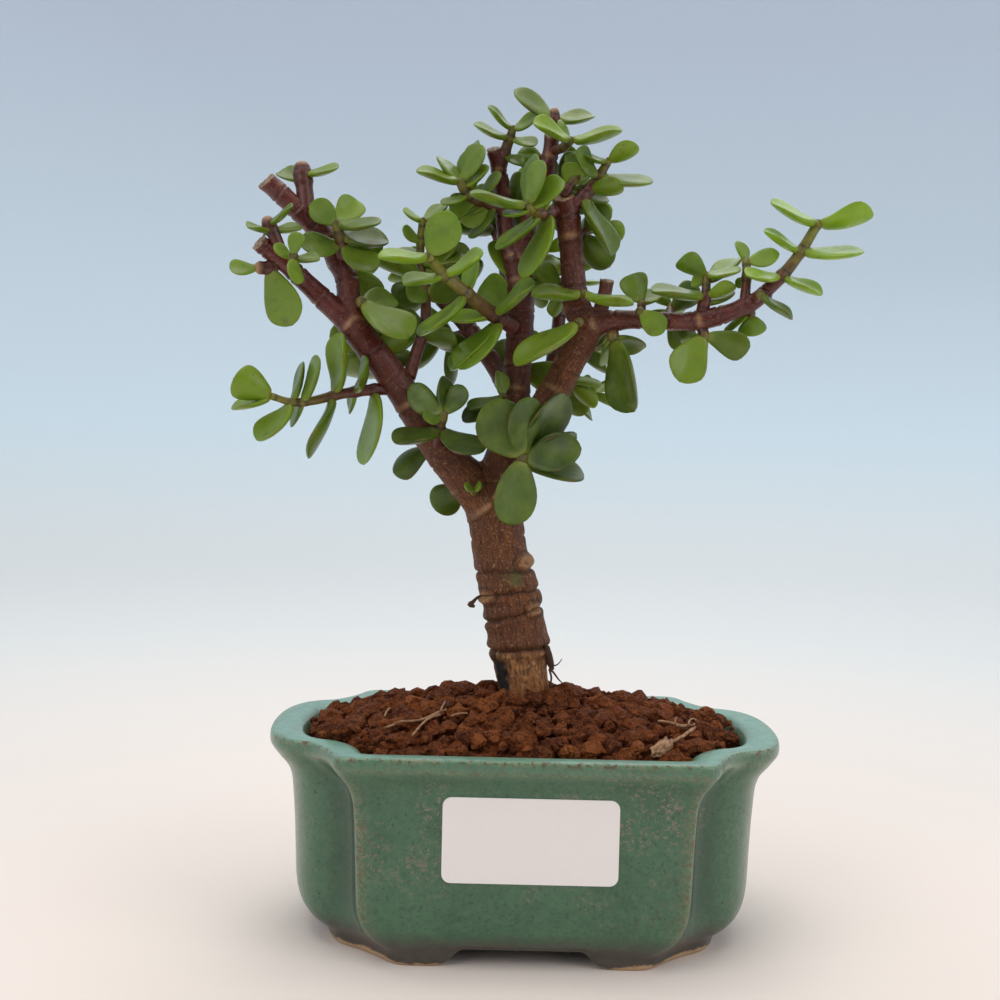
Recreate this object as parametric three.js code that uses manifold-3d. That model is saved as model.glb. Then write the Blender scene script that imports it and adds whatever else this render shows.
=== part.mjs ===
// A dwarf jade (Portulacaria afra) trained as a small informal upright bonsai, in its glazed pot.
// Millimetres, +Z up. Everything is drawn with the pot's middle at x = 0, and the group then
// moves by POT_SHIFT, so that the origin is on the table under the middle of the object's box.
import * as THREE from "three";
import Module from "manifold-3d";

const wasm = await Module();
wasm.setup();

// ---------------------------------------------------------------- driving dimensions
const POT_SHIFT = -3.8; // the pot's place from the middle of the whole object's box, along X
const RIM_TOP = 57.3;
const RIM_SHARE = 1.093; // the rim's size against the body's, so the lip is 146 mm by 97 mm
const BODY_HALF_X = 66.8;
const BODY_HALF_Y = 44.3;
const WALL = 5;
const FLOOR_UNDER = 6; // height of the pot's underside above the table
const ARCH_TOP = 4.6; // height of the arches between the feet
const FLOOR_TOP = 11.5;
const DRAIN_RADIUS = 7;
const DRAIN_X = 30; // each drain hole's distance from the pot's middle
const FRONT_ARCH_HALF = 17; // half the gap between the two front feet, at its roof
const SIDE_ARCH_HALF = 10;
const ARCH_SPLAY = 5; // how much wider an arch is at the table on each side

const SOIL_EDGE = 56; // height of the soil against the wall
const SOIL_CROWN = 65; // height of the mound at the trunk
const SOIL_HALF_X = 62;
const SOIL_HALF_Y = 40;
const GRANULE_SPACING = 12.6;
const GRANULE_RADIUS = 6.1;
const TRUNK_ROOM = 9; // no granule lies closer than this to the trunk's middle

const LABEL = { width: 46.5, height: 22.8, corner: 2, thick: 0.6, x: 1.5, z: 35.5 };

const GAP = 0.3; // clearance between pieces that touch
const WOOD_SIDES = 7;
const STEM_SIDES = 5;

// ---------------------------------------------------------------- seeded draws
// Park and Miller's generator. draw(low, high) gives the next number between the two.
let seed = 4711;
function draw(low, high) {
  seed = (seed * 16807) % 2147483647;
  return low + ((high - low) * seed) / 2147483647;
}

// ---------------------------------------------------------------- vectors and solids
const vec = (p) => new THREE.Vector3(p[0], p[1], p[2]);
const degrees = THREE.MathUtils.degToRad;

// A direction's part at right angles to an axis, as a unit vector.
function squareTo(axis, direction) {
  return direction.clone().addScaledVector(axis, -axis.dot(direction)).normalize();
}

// Lofts rings of equal length into one closed solid. Each end closes on a point:
// the one given, or the middle of the end ring.
function loft(rings, first, last) {
  const middle = (ring) =>
    ring.reduce((sum, p) => sum.add(p), new THREE.Vector3()).divideScalar(ring.length);
  const points = [first ?? middle(rings[0]), ...rings.flat(), last ?? middle(rings.at(-1))];
  const sides = rings[0].length;
  const end = points.length - 1;
  const faces = [];
  for (let i = 0; i < sides; i++) {
    const j = (i + 1) % sides;
    faces.push(0, 1 + j, 1 + i);
    for (let ring = 0; ring + 1 < rings.length; ring++) {
      const low = 1 + ring * sides;
      const high = low + sides;
      faces.push(low + i, low + j, high + j, low + i, high + j, high + i);
    }
    faces.push(end - sides + i, end - sides + j, end);
  }
  return solidFrom(points, faces);
}

function solidFrom(points, faces) {
  const vertProperties = new Float32Array(points.flatMap((p) => [p.x, p.y, p.z]));
  return new wasm.Manifold(
    new wasm.Mesh({ numProp: 3, vertProperties, triVerts: new Uint32Array(faces) }),
  );
}

// A three.js geometry with closed faces, as a solid.
function solidOf(geometry) {
  const position = geometry.getAttribute("position");
  const found = new Map();
  const points = [];
  const faces = [];
  for (let i = 0; i < position.count; i++) {
    const p = new THREE.Vector3().fromBufferAttribute(position, i);
    const key = [p.x, p.y, p.z].map((c) => Math.round(c * 1e4)).join();
    if (!found.has(key)) found.set(key, points.push(p) - 1);
    faces.push(found.get(key));
  }
  const corners = geometry.index ? Array.from(geometry.index.array, (i) => faces[i]) : faces;
  return solidFrom(points, corners);
}

const union = (solids) => solids.reduce((sum, solid) => sum.add(solid));

// The biggest body of a solid, without the scraps that a cut leaves.
function biggest(solid) {
  return solid.decompose().reduce((best, body) => (body.volume() > best.volume() ? body : best));
}

const group = new THREE.Group();

function place(name, solid, material) {
  const mesh = solid.getMesh();
  const geometry = new THREE.BufferGeometry();
  geometry.setAttribute("position", new THREE.BufferAttribute(mesh.vertProperties, 3));
  geometry.setIndex(new THREE.BufferAttribute(mesh.triVerts, 1));
  geometry.computeVertexNormals();
  const piece = new THREE.Mesh(geometry, material);
  piece.name = name;
  group.add(piece);
}

function finish(color, roughness) {
  return new THREE.MeshStandardMaterial({ color, roughness, metalness: 0 });
}
const glaze = finish(0x6f8f6a, 0.3);
const granules = finish(0x4a2a22, 0.95);
const bark = finish(0x6a463c, 0.8);
const leafSkin = finish(0x4f7a34, 0.35);
const youngLeafSkin = finish(0x8fae4a, 0.35);
const dryWood = finish(0xb59a78, 0.9);
const paper = finish(0xf2f1ec, 0.6);
const netting = finish(0x2c2c2c, 0.6);

// ---------------------------------------------------------------- pot
// A quarter of the pot's plan: a straight panel, the ridge at its end, the hollow of the
// corner and a side lobe. The lip's corners are less hollow than the body's, and the feet's
// are not hollow at all.
const BODY_PLAN = {
  panel: 42.5,
  ridge: [[45.5, 44.3], [45.5, 41.3]],
  hollow: [[45.5, 33], [46.5, 29.5], [52, 28.8]],
  lobe: [[62, 27.5], [66.8, 17]],
};
const LIP_PLAN = {
  panel: 42,
  ridge: [[45.6, 44.3], [46.6, 41.2]],
  hollow: [[47.5, 38.5], [50.3, 30.3], [55.5, 27.2]],
  lobe: [[63.5, 25.6], [66.8, 16.5]],
};

const FOOT_PLAN = {
  panel: 37,
  ridge: [[40.6, 44.3], [43, 42]],
  hollow: [[47, 38], [52, 33], [58, 29.5]],
  lobe: [[64.5, 26], [66.8, 16.5]],
};

function quarterPlan({ panel, ridge, hollow, lobe }) {
  const quarter = new THREE.Path();
  quarter.moveTo(0, BODY_HALF_Y);
  quarter.lineTo(panel, BODY_HALF_Y);
  quarter.quadraticCurveTo(...ridge.flat());
  quarter.bezierCurveTo(...hollow.flat());
  quarter.bezierCurveTo(...lobe.flat(), BODY_HALF_X, 0);
  return quarter.getPoints(3);
}

// The whole plan, anticlockwise seen from above, starting at the right.
function wholePlan(outline) {
  const quarter = quarterPlan(outline).reverse();
  const mirrored = (sx, sy, points) => points.map((p) => new THREE.Vector2(p.x * sx, p.y * sy));
  const right = quarter;
  const left = mirrored(-1, 1, [...quarter].reverse());
  const backLeft = mirrored(-1, -1, quarter);
  const backRight = mirrored(1, -1, [...quarter].reverse());
  return [right, left, backLeft, backRight].flatMap((part) => part.slice(0, -1));
}
const bodyPlan = wholePlan(BODY_PLAN);
const lipPlan = wholePlan(LIP_PLAN);
const footPlan = wholePlan(FOOT_PLAN);

// The plan at a height, drawn to the given shares of the body's size along X and Y.
// kind goes from -1, the feet's plan, over 0, the body's, to 1, the lip's.
function planScaled(shareX, shareY, z, kind = 0) {
  const other = kind < 0 ? footPlan : lipPlan;
  return bodyPlan.map((p, i) => {
    const spot = p.clone().lerp(other[i], Math.abs(kind));
    return new THREE.Vector3(spot.x * shareX, spot.y * shareY, z);
  });
}

// The plan at a height, drawn in by the same distance on every side.
function planInset(distance, z, kind = 0) {
  return planScaled(1 - distance / BODY_HALF_X, 1 - distance / BODY_HALF_Y, z, kind);
}

function slab(halfX, halfY, low, high, x, y = 0) {
  const box = new THREE.BoxGeometry(2 * halfX, 2 * halfY, high - low);
  box.translate(x, y, (low + high) / 2);
  return solidOf(box);
}

// An arch between two feet, along X or Y through the whole pot.
function archCut(half, alongX) {
  const reach = 2 * BODY_HALF_X;
  const arch = new THREE.Shape();
  arch.moveTo(-half - ARCH_SPLAY, -1);
  arch.lineTo(half + ARCH_SPLAY, -1);
  arch.lineTo(half, ARCH_TOP);
  arch.lineTo(-half, ARCH_TOP);
  const geometry = new THREE.ExtrudeGeometry(arch, { depth: 2 * reach, bevelEnabled: false });
  geometry.translate(0, 0, -reach);
  geometry.rotateX(Math.PI / 2);
  if (alongX) geometry.rotateZ(Math.PI / 2);
  return solidOf(geometry);
}

const drainXs = [-DRAIN_X, DRAIN_X];

function drain(x) {
  const hole = new THREE.CylinderGeometry(DRAIN_RADIUS, DRAIN_RADIUS, 3 * FLOOR_TOP, 16);
  hole.rotateX(Math.PI / 2);
  hole.translate(x, 0, FLOOR_TOP);
  return solidOf(hole);
}

function pot() {
  const outside = [
    [0.83, 0.914, 0, -1],
    [0.845, 0.922, 3.4, -1],
    [0.9, 0.948, 5.6, -0.85],
    [0.95, 0.98, 9, -0.5],
    [0.975, 0.997, 14, -0.12],
    [0.98, 1, 20],
    [0.988, 1, 33],
    [1, 1, 43],
    [1.02, 1, 47.3, 0.2],
    [1.058, 1.03, 50.2, 0.5],
    [RIM_SHARE, RIM_SHARE, 54, 1],
    [RIM_SHARE, RIM_SHARE, 56.5, 1],
    [1.082, 1.082, RIM_TOP, 1],
  ];
  const shell = loft(outside.map((row) => planScaled(...row)));
  const inside = [
    [WALL + 7, FLOOR_TOP],
    [WALL, FLOOR_TOP + 7],
    [WALL, 45.6],
    [2.6, 54.6, 0.8],
    [1.6, RIM_TOP + 0.02, 1],
    [1.6, RIM_TOP + 2, 1],
  ];
  const hollow = loft(inside.map((row) => planInset(...row)));
  const under = loft([planScaled(0.71, 0.81, -1), planScaled(0.7, 0.8, FLOOR_UNDER)]);
  const cuts = [
    hollow,
    under,
    archCut(FRONT_ARCH_HALF, false),
    archCut(SIDE_ARCH_HALF, true),
    ...drainXs.map(drain),
  ];
  return cuts.reduce((body, cut) => body.subtract(cut), shell);
}
place("pot", pot(), glaze);

// A square of plastic netting lies over each drain hole.
const NET = { half: 10, thick: 1, hole: 6, pitch: 8 };

function drainNet(x) {
  const low = FLOOR_TOP + GAP;
  let net = slab(NET.half, NET.half, low, low + NET.thick, x);
  for (const column of [-0.5, 0.5])
    for (const row of [-0.5, 0.5]) {
      const holeX = x + column * NET.pitch;
      const half = NET.hole / 2;
      net = net.subtract(slab(half, half, low - 1, low + NET.thick + 1, holeX, row * NET.pitch));
    }
  return net;
}
place("drain_net_left", drainNet(drainXs[0]), netting);
place("drain_net_right", drainNet(drainXs[1]), netting);

// The plant label is a blank paper sticker on the front panel.
function label() {
  const { width, height, corner, thick } = LABEL;
  const x = width / 2 - corner;
  const z = height / 2 - corner;
  const outline = new THREE.Shape();
  outline.absarc(x, z, corner, 0, Math.PI / 2);
  outline.absarc(-x, z, corner, Math.PI / 2, Math.PI);
  outline.absarc(-x, -z, corner, Math.PI, 1.5 * Math.PI);
  outline.absarc(x, -z, corner, 1.5 * Math.PI, 2 * Math.PI);
  const settings = { depth: thick, bevelEnabled: false, curveSegments: 2 };
  const sheet = new THREE.ExtrudeGeometry(outline, settings);
  sheet.rotateX(Math.PI / 2);
  sheet.translate(LABEL.x, -BODY_HALF_Y - GAP, LABEL.z);
  return solidOf(sheet);
}
place("blank_label", label(), paper);

// ---------------------------------------------------------------- wood
// Each limb as points [x, y, z, radius] along its middle, from its root to its cut end.
const limbs = {
  trunk: [[0, 0, 44, 8.4], [0, 0, 61, 8], [-0.5, 0, 67.5, 7.8], [-1.5, 0, 74, 8.2],
    [-2, 0, 79.5, 8.6], [-3.5, 0, 88, 8.5], [-5, 0, 96, 8.3], [-7, 0, 102.5, 8.1],
    [-8.5, 0, 108.5, 7.8], [-9.5, 0, 116, 7.9], [-11, 0, 123, 8.4], [-12, 0, 127.5, 7.4]],
  left_limb: [[-11.5, 0, 121, 7], [-17.5, -1, 128, 6.2], [-24, -3, 134.5, 5.3],
    [-32, -5, 145.5, 4.7], [-38.5, -7, 155.5, 4.4], [-46, -8, 165, 4.3], [-52, -9, 172.5, 4.1]],
  middle: [[-11, 0, 123, 7.6], [-8.5, 0, 129.5, 7], [-6.5, 0, 136, 6.4], [-5.5, 2, 145, 5],
    [-4.5, 4, 158, 4.1], [-4, 5, 173, 4], [-4, 6, 184, 3.9], [-5.5, 7, 193.5, 3.8]],
  right_limb: [[-8, 0, 129, 6.6], [-4, -1, 137, 5.6], [1.5, -3, 146.5, 4.9],
    [6.5, -5, 155, 4.4], [11, -7, 164, 4.3], [15.5, -8, 172.5, 4.4]],
  left_tip: [[-51.5, -9, 172, 3.7], [-55, -10, 174.5, 3.2], [-61, -11, 180, 2.9],
    [-66.5, -12, 185, 2.7], [-72, -13, 189.5, 2.5], [-78, -14, 194, 2.4]],
  left_leader: [[-50.5, -9, 171.5, 3.7], [-52.5, -8, 177.5, 3.4], [-53.5, -6, 184.5, 3.3],
    [-57, -4, 191, 3.1], [-60.5, -3, 197.5, 3], [-64, -3, 200.5, 3], [-70.5, -3, 206.5, 2.9],
    [-78, -3, 213, 2.8]],
  back_left: [[-5, 5, 152, 3.2], [-10.5, 13, 161, 2.8], [-16.5, 17, 170, 2.7],
    [-22.5, 21, 177, 2.4], [-28.5, 26, 182.5, 2]],
  leader_left: [[-6, 7, 192.5, 3.2], [-8.5, 8, 200.5, 2.8], [-9.5, 9, 209, 2.5],
    [-11, 9, 218, 2.3], [-13, 9, 226, 2.2]],
  leader_right: [[-4, 7, 192.5, 3.2], [-2.5, 5, 201.5, 2.8], [0.5, 3, 210, 2.5],
    [3, 2, 218.5, 2.4], [4, 2, 229, 2.1]],
  right_riser: [[15.5, -8, 172, 4.2], [12, -8, 178, 3.9], [11, -8, 183, 3.6],
    [10, -9, 193, 3.4], [8.5, -10, 203.5, 3.5], [7, -10, 209.5, 2.8]],
  right_stub: [[17.5, -7, 173, 2.1], [19.5, -6, 181, 2], [20.5, -5, 187, 2]],
  right_branch: [[15.5, -8, 173, 3.8], [22, -9, 174.5, 3], [29.5, -10, 175, 2.6],
    [40.5, -12, 174.5, 2.5], [46.5, -13, 175, 2.9], [53.5, -14, 177, 2.5], [60, -15, 180, 2.4],
    [64.5, -16, 183.5, 2.1]],
  back_right: [[-3, 3, 140.5, 3.6], [1.5, 14, 148, 3], [5, 22, 157, 2.6],
    [7.5, 28, 168, 2.3], [8.5, 32, 179.5, 2]],
  back_middle: [[-4, 6, 172.5, 2.8], [-5.5, 16, 182, 2.4], [-8.5, 23, 192, 2.1],
    [-11, 28, 201.5, 1.8]],
};

// A tapered tube along points [x, y, z, radius], grown by extra all round.
function tube(route, sides, extra = 0) {
  const middle = route.map(vec);
  let across = null;
  const rings = middle.map((point, i) => {
    const before = middle[Math.max(0, i - 1)];
    const after = middle[Math.min(middle.length - 1, i + 1)];
    const along = after.clone().sub(before).normalize();
    across = squareTo(along, across ?? new THREE.Vector3(1, 0.2, 0));
    const other = along.clone().cross(across);
    const radius = route[i][3] + extra;
    const push = i === 0 ? -extra : i === middle.length - 1 ? extra : 0;
    return Array.from({ length: sides }, (_, k) => {
      const turn = (2 * Math.PI * k) / sides;
      return point
        .clone()
        .addScaledVector(along, push)
        .addScaledVector(across, radius * Math.cos(turn))
        .addScaledVector(other, radius * Math.sin(turn));
    });
  });
  return loft(rings);
}

function wood(extra) {
  return union(Object.values(limbs).map((route) => tube(route, WOOD_SIDES, extra)));
}
const woodRoom = wood(GAP);
place("trunk_and_limbs", wood(0), bark);

// ---------------------------------------------------------------- leafy shoots
// Each shoot: [radius at its root, radius at its tip, points along its stem, leaves].
// A leaf: [share of the stem where it sits, x, y and z from there to its tip, width, face].
// face is 1 where the blade faces the front, 0 where it is edge on, and less than 0
// where its underside faces the front. Leaves sit in pairs, each pair across the last.
const shoots = {
  left_end_shoot: [2, 1.7, [[-71, -13, 189.5], [-72.5, -14, 194.5], [-75, -14, 199.5]], [
    [0.75, -7.5, -3, -2, 6, 0.4], [0.75, 8, 3, 1.5, 6, 0.5],
    [0.92, 7, -5, 4.5, 7, 0.4], [0.92, -2.5, 5, -3.5, 5, 0.4],
  ]],
  left_outer_bud: [2, 1.6, [[-72, -13, 187], [-75, -14, 186.5], [-77, -15, 186.5]], [
    [1, -7.5, -3, -0.5, 6, 0.8], [0.5, 6, 2, -16, 12, 0.9],
  ]],
  left_front_bud: [1.6, 1.3, [[-68, -13, 188], [-66.5, -21, 189]], [
    [0.7, -5, -2, 3.5, 4, 0.8], [0.7, 7.5, -2, 0, 5, 0.6],
    [1, 1, -2, 6.5, 5, 0.8], [1, 1.5, -3, -7.5, 6, 0.6],
  ]],
  left_crown: [2.1, 1.3, [[-55, -5, 189.5], [-55, -8, 194], [-56, -12, 199.5]], [
    [0.45, -11, -6, 1, 9, 0.8], [0.45, 10.5, -5, -7, 9, 0.8],
    [0.7, 13.5, 5, 0, 10, 0.6], [0.7, -7, 10, -8, 10, 0.4],
    [1, -6.5, -4, 5, 7, 1], [1, 12.5, -5, 0, 9, 0.5],
    [0.93, 5, 6, 8.5, 8, 1], [0.93, -5.5, 8, 7, 8, 0.8],
  ]],
  left_cut_stub: [2.6, 2.4, [[-65.5, -3, 203], [-66.5, -2, 210.5], [-67.5, -1, 217]], [
    [0.85, 10.5, -4, 1.5, 7, 0.4], [0.7, -8.5, 4, 0.5, 7, 0.6],
  ]],
  left_inner_leaf: [1.7, 1.4, [[-51.5, -9, 177], [-48.5, -12, 178]], [
    [1, 14, -6, -9.5, 13, 0.7], [1, 8.5, 9, 2.5, 9, 0.8],
  ]],
  low_left_twig: [1.8, 0.9, [[-39, -7, 154], [-46, -9, 153.5], [-54.5, -11, 152],
    [-62, -12, 150], [-67.5, -13, 149.5], [-73, -14, 151]], [
    [1, -10, -5, 4.5, 10, -1], [1, -11, -2, -3.5, 8, 0.4],
    [0.83, 2, 3, 11.5, 8, 0.4], [0.83, -10, -2, -10.5, 10, 0.6],
    [0.75, 5, -6, 12, 10, 0.4], [0.75, -4.5, 6, -6, 7, 0.5],
    [0.5, 1.5, -3, 17.5, 12, 0.5], [0.5, -7, -3, -17.5, 13, 0.2],
    [0.33, 6.5, -6, 10, 9, 0.4], [0.33, -2.5, 6, -5, 6, 0.5],
    [0.17, -2.5, -5, -21, 15, 0.4], [0.2, 1.5, 6, 11.5, 9, 0.4],
  ]],
  limb_back_leaf: [1.5, 1.2, [[-40.5, -4, 158.5], [-39.5, 2, 160.5]], [
    [1, 2, 4, 5.5, 9, -1], [1, -17.5, 2, 10, 14, -0.4],
  ]],
  middle_stem: [2, 1, [[-35.5, -5, 157], [-33.5, 0, 165.5], [-31.5, 3, 173], [-32, 6, 183.5],
    [-33.5, 8, 192], [-33.5, 6, 198.5], [-33, 5, 203]], [
    [1, -5.5, -3, 3, 5, 0.4], [1, 6.5, 4, 6, 7, 0.6],
    [0.88, -5, -4, 3.5, 5, 0.7], [0.88, 5.5, 5, 0.5, 5, 0.7],
    [0.76, -7, 6, 5, 7, 0.6], [0.76, 13.5, -3, 1, 10, 0.4],
    [0.68, -13, -4, 3.5, 10, -0.4], [0.68, 9, 7, 10, 11, 0.4],
    [0.62, -9, -3, -4, 7, 1], [0.62, -3.5, -7, -5, 7, 1],
    [0.3, 10.5, -5, -1.5, 8, -0.7], [0.3, -6.5, 3, 7, 7, 1],
    [0.36, 12, 6, -6.5, 10, -0.6],
  ]],
  front_shoot: [2.3, 1.2, [[-5.5, 1, 172.5], [-13.5, -6, 177], [-20.5, -12, 182],
    [-26, -16, 186], [-29.5, -20, 190]], [
    [1, -13.5, -5, -0.5, 10, 0.4], [1, 6, -4, 11.5, 10, 1],
    [0.8, 10.5, -5, 6, 9, 0.4], [0.8, -11, -4, -3, 8, 0.5],
    [0.55, -14, -5, -10.5, 13, 0.3], [0.55, 1.5, 5, 9.5, 8, 0.5],
    [0.25, 11, -7, 8.5, 11, 0.3], [0.25, -12.5, 3, -1, 9, 0.4],
    [0.16, -11.5, -6, -14.5, 14, 0.6], [0.16, -15.5, 6, -12, 12, 0.4],
  ]],
  heart_cluster: [2, 1.4, [[-5, -5, 132.5], [-3, -11, 134], [-2.5, -17, 135.5]], [
    [1, -10, -4, 15, 14, 1], [1, -3.5, -2, -18.5, 13, 0.9],
    [0.9, 1, -5, 17, 12, 0.8], [0.9, 16, -3, 3.5, 12, 0.9],
    [0.6, 6.5, 3, 21.5, 16, 0.6], [0.6, 18, 5, -3, 13, 0.4],
    [0.4, 13, 8, 10, 13, 0.4],
  ]],
  limb_cluster: [1.8, 1.2, [[-27, -7, 138], [-26, -11, 143], [-25, -13, 147]], [
    [0.55, -14.5, -5, -1.5, 11, 0.4], [0.55, 12.5, -7, -5.5, 11, 0.6],
    [0.9, -5, -6, 0, 5, 0.8], [0.9, 1, 6, 11.5, 9, 0.6],
    [1, -9.5, -3, 7.5, 9, 0.8], [1, 5, 3, 8.5, 7, 0.9],
  ]],
  fork_leaf: [1.4, 1.1, [[-8.5, 0, 148.5], [-8.5, -6, 152.5]], [
    [1, -9.5, -5, -3.5, 8, 0.4], [1, -1, 3, 7.5, 6, 0.6],
    [0.7, -11.5, -1, -5.5, 9, 0.6],
  ]],
  fork_small_leaf: [1.2, 1, [[-15, -4, 124], [-16, -9, 125.5]], [
    [1, -2.5, -2, 2.5, 3, 0.6], [1, 2.5, -2, 2, 3, 0.6],
  ]],
  limb_under_leaf: [1.4, 1.1, [[-28.5, -1, 141], [-29, 5, 137]], [
    [1, -11, 2, -7.5, 9, -0.8], [1, 8, 6, -8, 9, 0.4],
  ]],
  fork_under_leaf: [1.4, 1.1, [[-19.5, 2, 128.5], [-20.5, 8, 126]], [
    [1, -7, 3, -7.5, 10, -1], [1, 7, 8, -3, 8, 0.5],
  ]],
  crown_left: [2.2, 1.3, [[-9, 8, 207], [-14, 6, 209], [-19.5, 3, 210.5], [-22, 1, 214]], [
    [1, -12.5, -4, 2.5, 9, 0.4], [1, 6, -3, 10, 8, 0.8],
    [0.9, -7, 6, 9.5, 9, 0.4], [0.9, 7, -3, 5.5, 7, 0.6],
    [0.75, -7.5, -4, -3.5, 6, 0.6], [0.75, 1, 6, 16.5, 12, 0.5],
    [0.55, -8, -1, -3.5, 7, 1], [0.55, 7.5, -1, 6.5, 7, 0.5],
    [0.3, -8, -2, -6, 8, 1], [0.3, -19.5, 5, -1.5, 14, 0.4],
    [0.22, -6, -5, -10, 9, 0.4],
  ]],
  crown_tip: [1.9, 1, [[-11, 9, 218.5], [-9, 9, 226], [-8, 8, 228.5], [-7.5, 7, 230.5]], [
    [1, -7, -3, 6, 7, 0.4], [1, 7, -3, 3.5, 6, 0.7],
    [0.8, -10.5, -3, 3.5, 8, 0.4], [0.8, 8, -1, -1.5, 6, 0.6],
    [0.4, 5.5, -5, -3.5, 5, 0.8],
  ]],
  crown_right_top: [2.1, 1.5, [[4, 2, 227.5], [4.5, 2, 234.5]], [
    [0.75, -13, 2, 4.5, 10, 0.6], [0.75, 11.5, 4, 2.5, 9, 0.6],
  ]],
  crown_front_top: [1.5, 1.1, [[4.5, 1, 223.5], [7, -4, 223.5], [9, -7, 225]], [
    [1, -10.5, -5, 4, 9, 0.5], [1, 14, -3, 3, 10, 0.4],
    [0.7, -1, 5, 7, 6, 0.6],
  ]],
  crown_back_leaf: [1.3, 1.1, [[3, 4, 221], [1.5, 9, 223]], [
    [1, -7.5, 2, 0.5, 7, -1], [1, 5.5, 4, -4.5, 6, -1],
  ]],
  riser_front: [1.9, 1.2, [[5.5, -11, 204.5], [0.5, -15, 203], [-3, -20, 204.5]], [
    [1, -15.5, -4, 2.5, 11, 0.3], [1, 3.5, -2, 12, 9, 0.6],
    [0.9, 0, 6, 15, 11, 0.4], [0.85, -7.5, -4, -2.5, 6, 0.4],
    [0.85, 8.5, -4, 7, 8, 0.7], [0.45, -12.5, -1, -10, 11, 0.3],
    [0.45, 5, 3, 7.5, 7, 0.5], [0.2, -7, -4, -18.5, 14, 0.4],
  ]],
  riser_top: [1.5, 1, [[7, -10, 208.5], [9, -10, 212], [11, -10, 214]], [
    [0.8, 0.5, 4, 9, 7, 1], [0.8, 7.5, 6, 5, 8, 0.4],
    [0.4, -2, 3, 6.5, 7, 1],
  ]],
  riser_right: [2.1, 1, [[9.5, -10, 205.5], [14.5, -9, 211], [17.5, -9, 215.5], [19.5, -9, 219]], [
    [1, -6.5, -2, 6, 6, 0.4], [1, 8, -3, 4, 7, -0.7],
    [0.7, -8, -4, 7, 8, 0.7], [0.7, 15, -3, -1.5, 11, 0.5],
    [0.45, 9, -5, 0.5, 7, -0.6], [0.45, -5, 5, 6, 6, 0.8],
    [0.3, 8.5, -4, -16.5, 13, 0.5], [0.3, 7, 5, 1, 7, 0.8],
  ]],
  riser_left_leaf: [1.4, 1.1, [[8.5, -7, 183], [7.5, -3, 184]], [
    [1, -7.5, 3, 6.5, 7, -0.9], [1, -2, 3, -8, 6, -0.8],
  ]],
  riser_low_front: [1.3, 1.1, [[11.5, -10, 181], [13, -15, 181.5]], [
    [1, 14, -3, -2.5, 10, 0.2], [1, -11.5, 8, 3, 10, 0.4],
  ]],
  right_knee_leaf: [1.5, 1.2, [[14, -11, 173], [12, -16, 173.5]], [
    [1, -17.5, -4, -12, 15, 0.4],
  ]],
  limb_back_right: [1.6, 1.2, [[8.5, -4, 158.5], [10.5, 2, 158], [12, 6, 157]], [
    [1, 7, 2, -6.5, 7, -0.6], [0.8, 9, 4, 0, 7, -0.4],
  ]],
  branch_leaf_up: [1.3, 1.1, [[30, -10, 175.5], [30, -9, 179.5]], [
    [1, -3, 2, 8.5, 8, 1], [1, 4.5, 6, 4.5, 6, 0.8],
  ]],
  branch_leaf_front: [1.3, 1.1, [[29.5, -11, 175.5], [29, -15, 177]], [
    [1, 6.5, -2, -6, 7, 1],
  ]],
  branch_hanging: [1.8, 1.5, [[22, -9, 173.5], [22, -11, 169.5]], [
    [1, 5.5, -4, -20.5, 16, 0.5], [1, 9, 5, -3, 8, 0.6],
    [0.85, -6.5, 7, -5.5, 8, 0.4],
  ]],
  branch_mid_up: [1.8, 1, [[46.5, -13, 177], [47.5, -13, 182], [47.5, -12, 187.5]], [
    [1, -8, -4, 4, 7, -0.8], [1, 9.5, -4, 0.5, 7, 0.4],
    [0.85, 11, 5, 7.5, 10, 0.4], [0.85, -3.5, 5, 0.5, 4, 1],
    [0.45, -15.5, -4, 1, 11, 0.3], [0.45, 7.5, -4, 3, 6, -0.6],
    [0.25, 10, 6, 1.5, 8, 0.4],
  ]],
  branch_mid_down: [1.6, 1.2, [[46.5, -13, 173], [47.5, -14, 170.5]], [
    [0.9, -7, -4, -13, 11, 1], [1, 12, -3, -3, 9, 0.8],
    [0.9, -5.5, 7, -2, 6, 0.6],
  ]],
  branch_far_up: [1.5, 1.1, [[58, -15, 180], [58.5, -14, 186.5], [58.5, -13, 191.5]], [
    [1, 8.5, -3, 2, 6, 0.9], [1, -3, 5, 4.5, 5, 0.6],
    [0.6, -3, 3, -0.5, 3, 1],
  ]],
  branch_far_front: [1.3, 1.1, [[60.5, -16.5, 180.5], [61.5, -20, 182]], [
    [1, 9, -1, -6.5, 8, 0.4],
  ]],
  branch_far_down: [1.3, 1.1, [[59.5, -14, 179], [60.5, -12, 177]], [
    [1, 1, 1, -6, 8, -1], [1, -7.5, 3, -4, 6, -0.2],
  ]],
  branch_tip: [2, 1.3, [[63.5, -16, 183], [68, -16, 187.5], [72.5, -16, 193.5], [77.5, -15, 202]], [
    [1, -13.5, -3, 5.5, 10, 0.4], [1, 14.5, -3, 3, 11, -0.4],
    [0.62, -10.5, -2, 5.5, 8, 0.4], [0.62, 16.5, -4, 0, 12, 0.4],
    [0.27, -10.5, -3, 3.5, 8, 0.4], [0.27, 10.5, -4, -5, 9, 0.4],
  ]],
};

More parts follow.
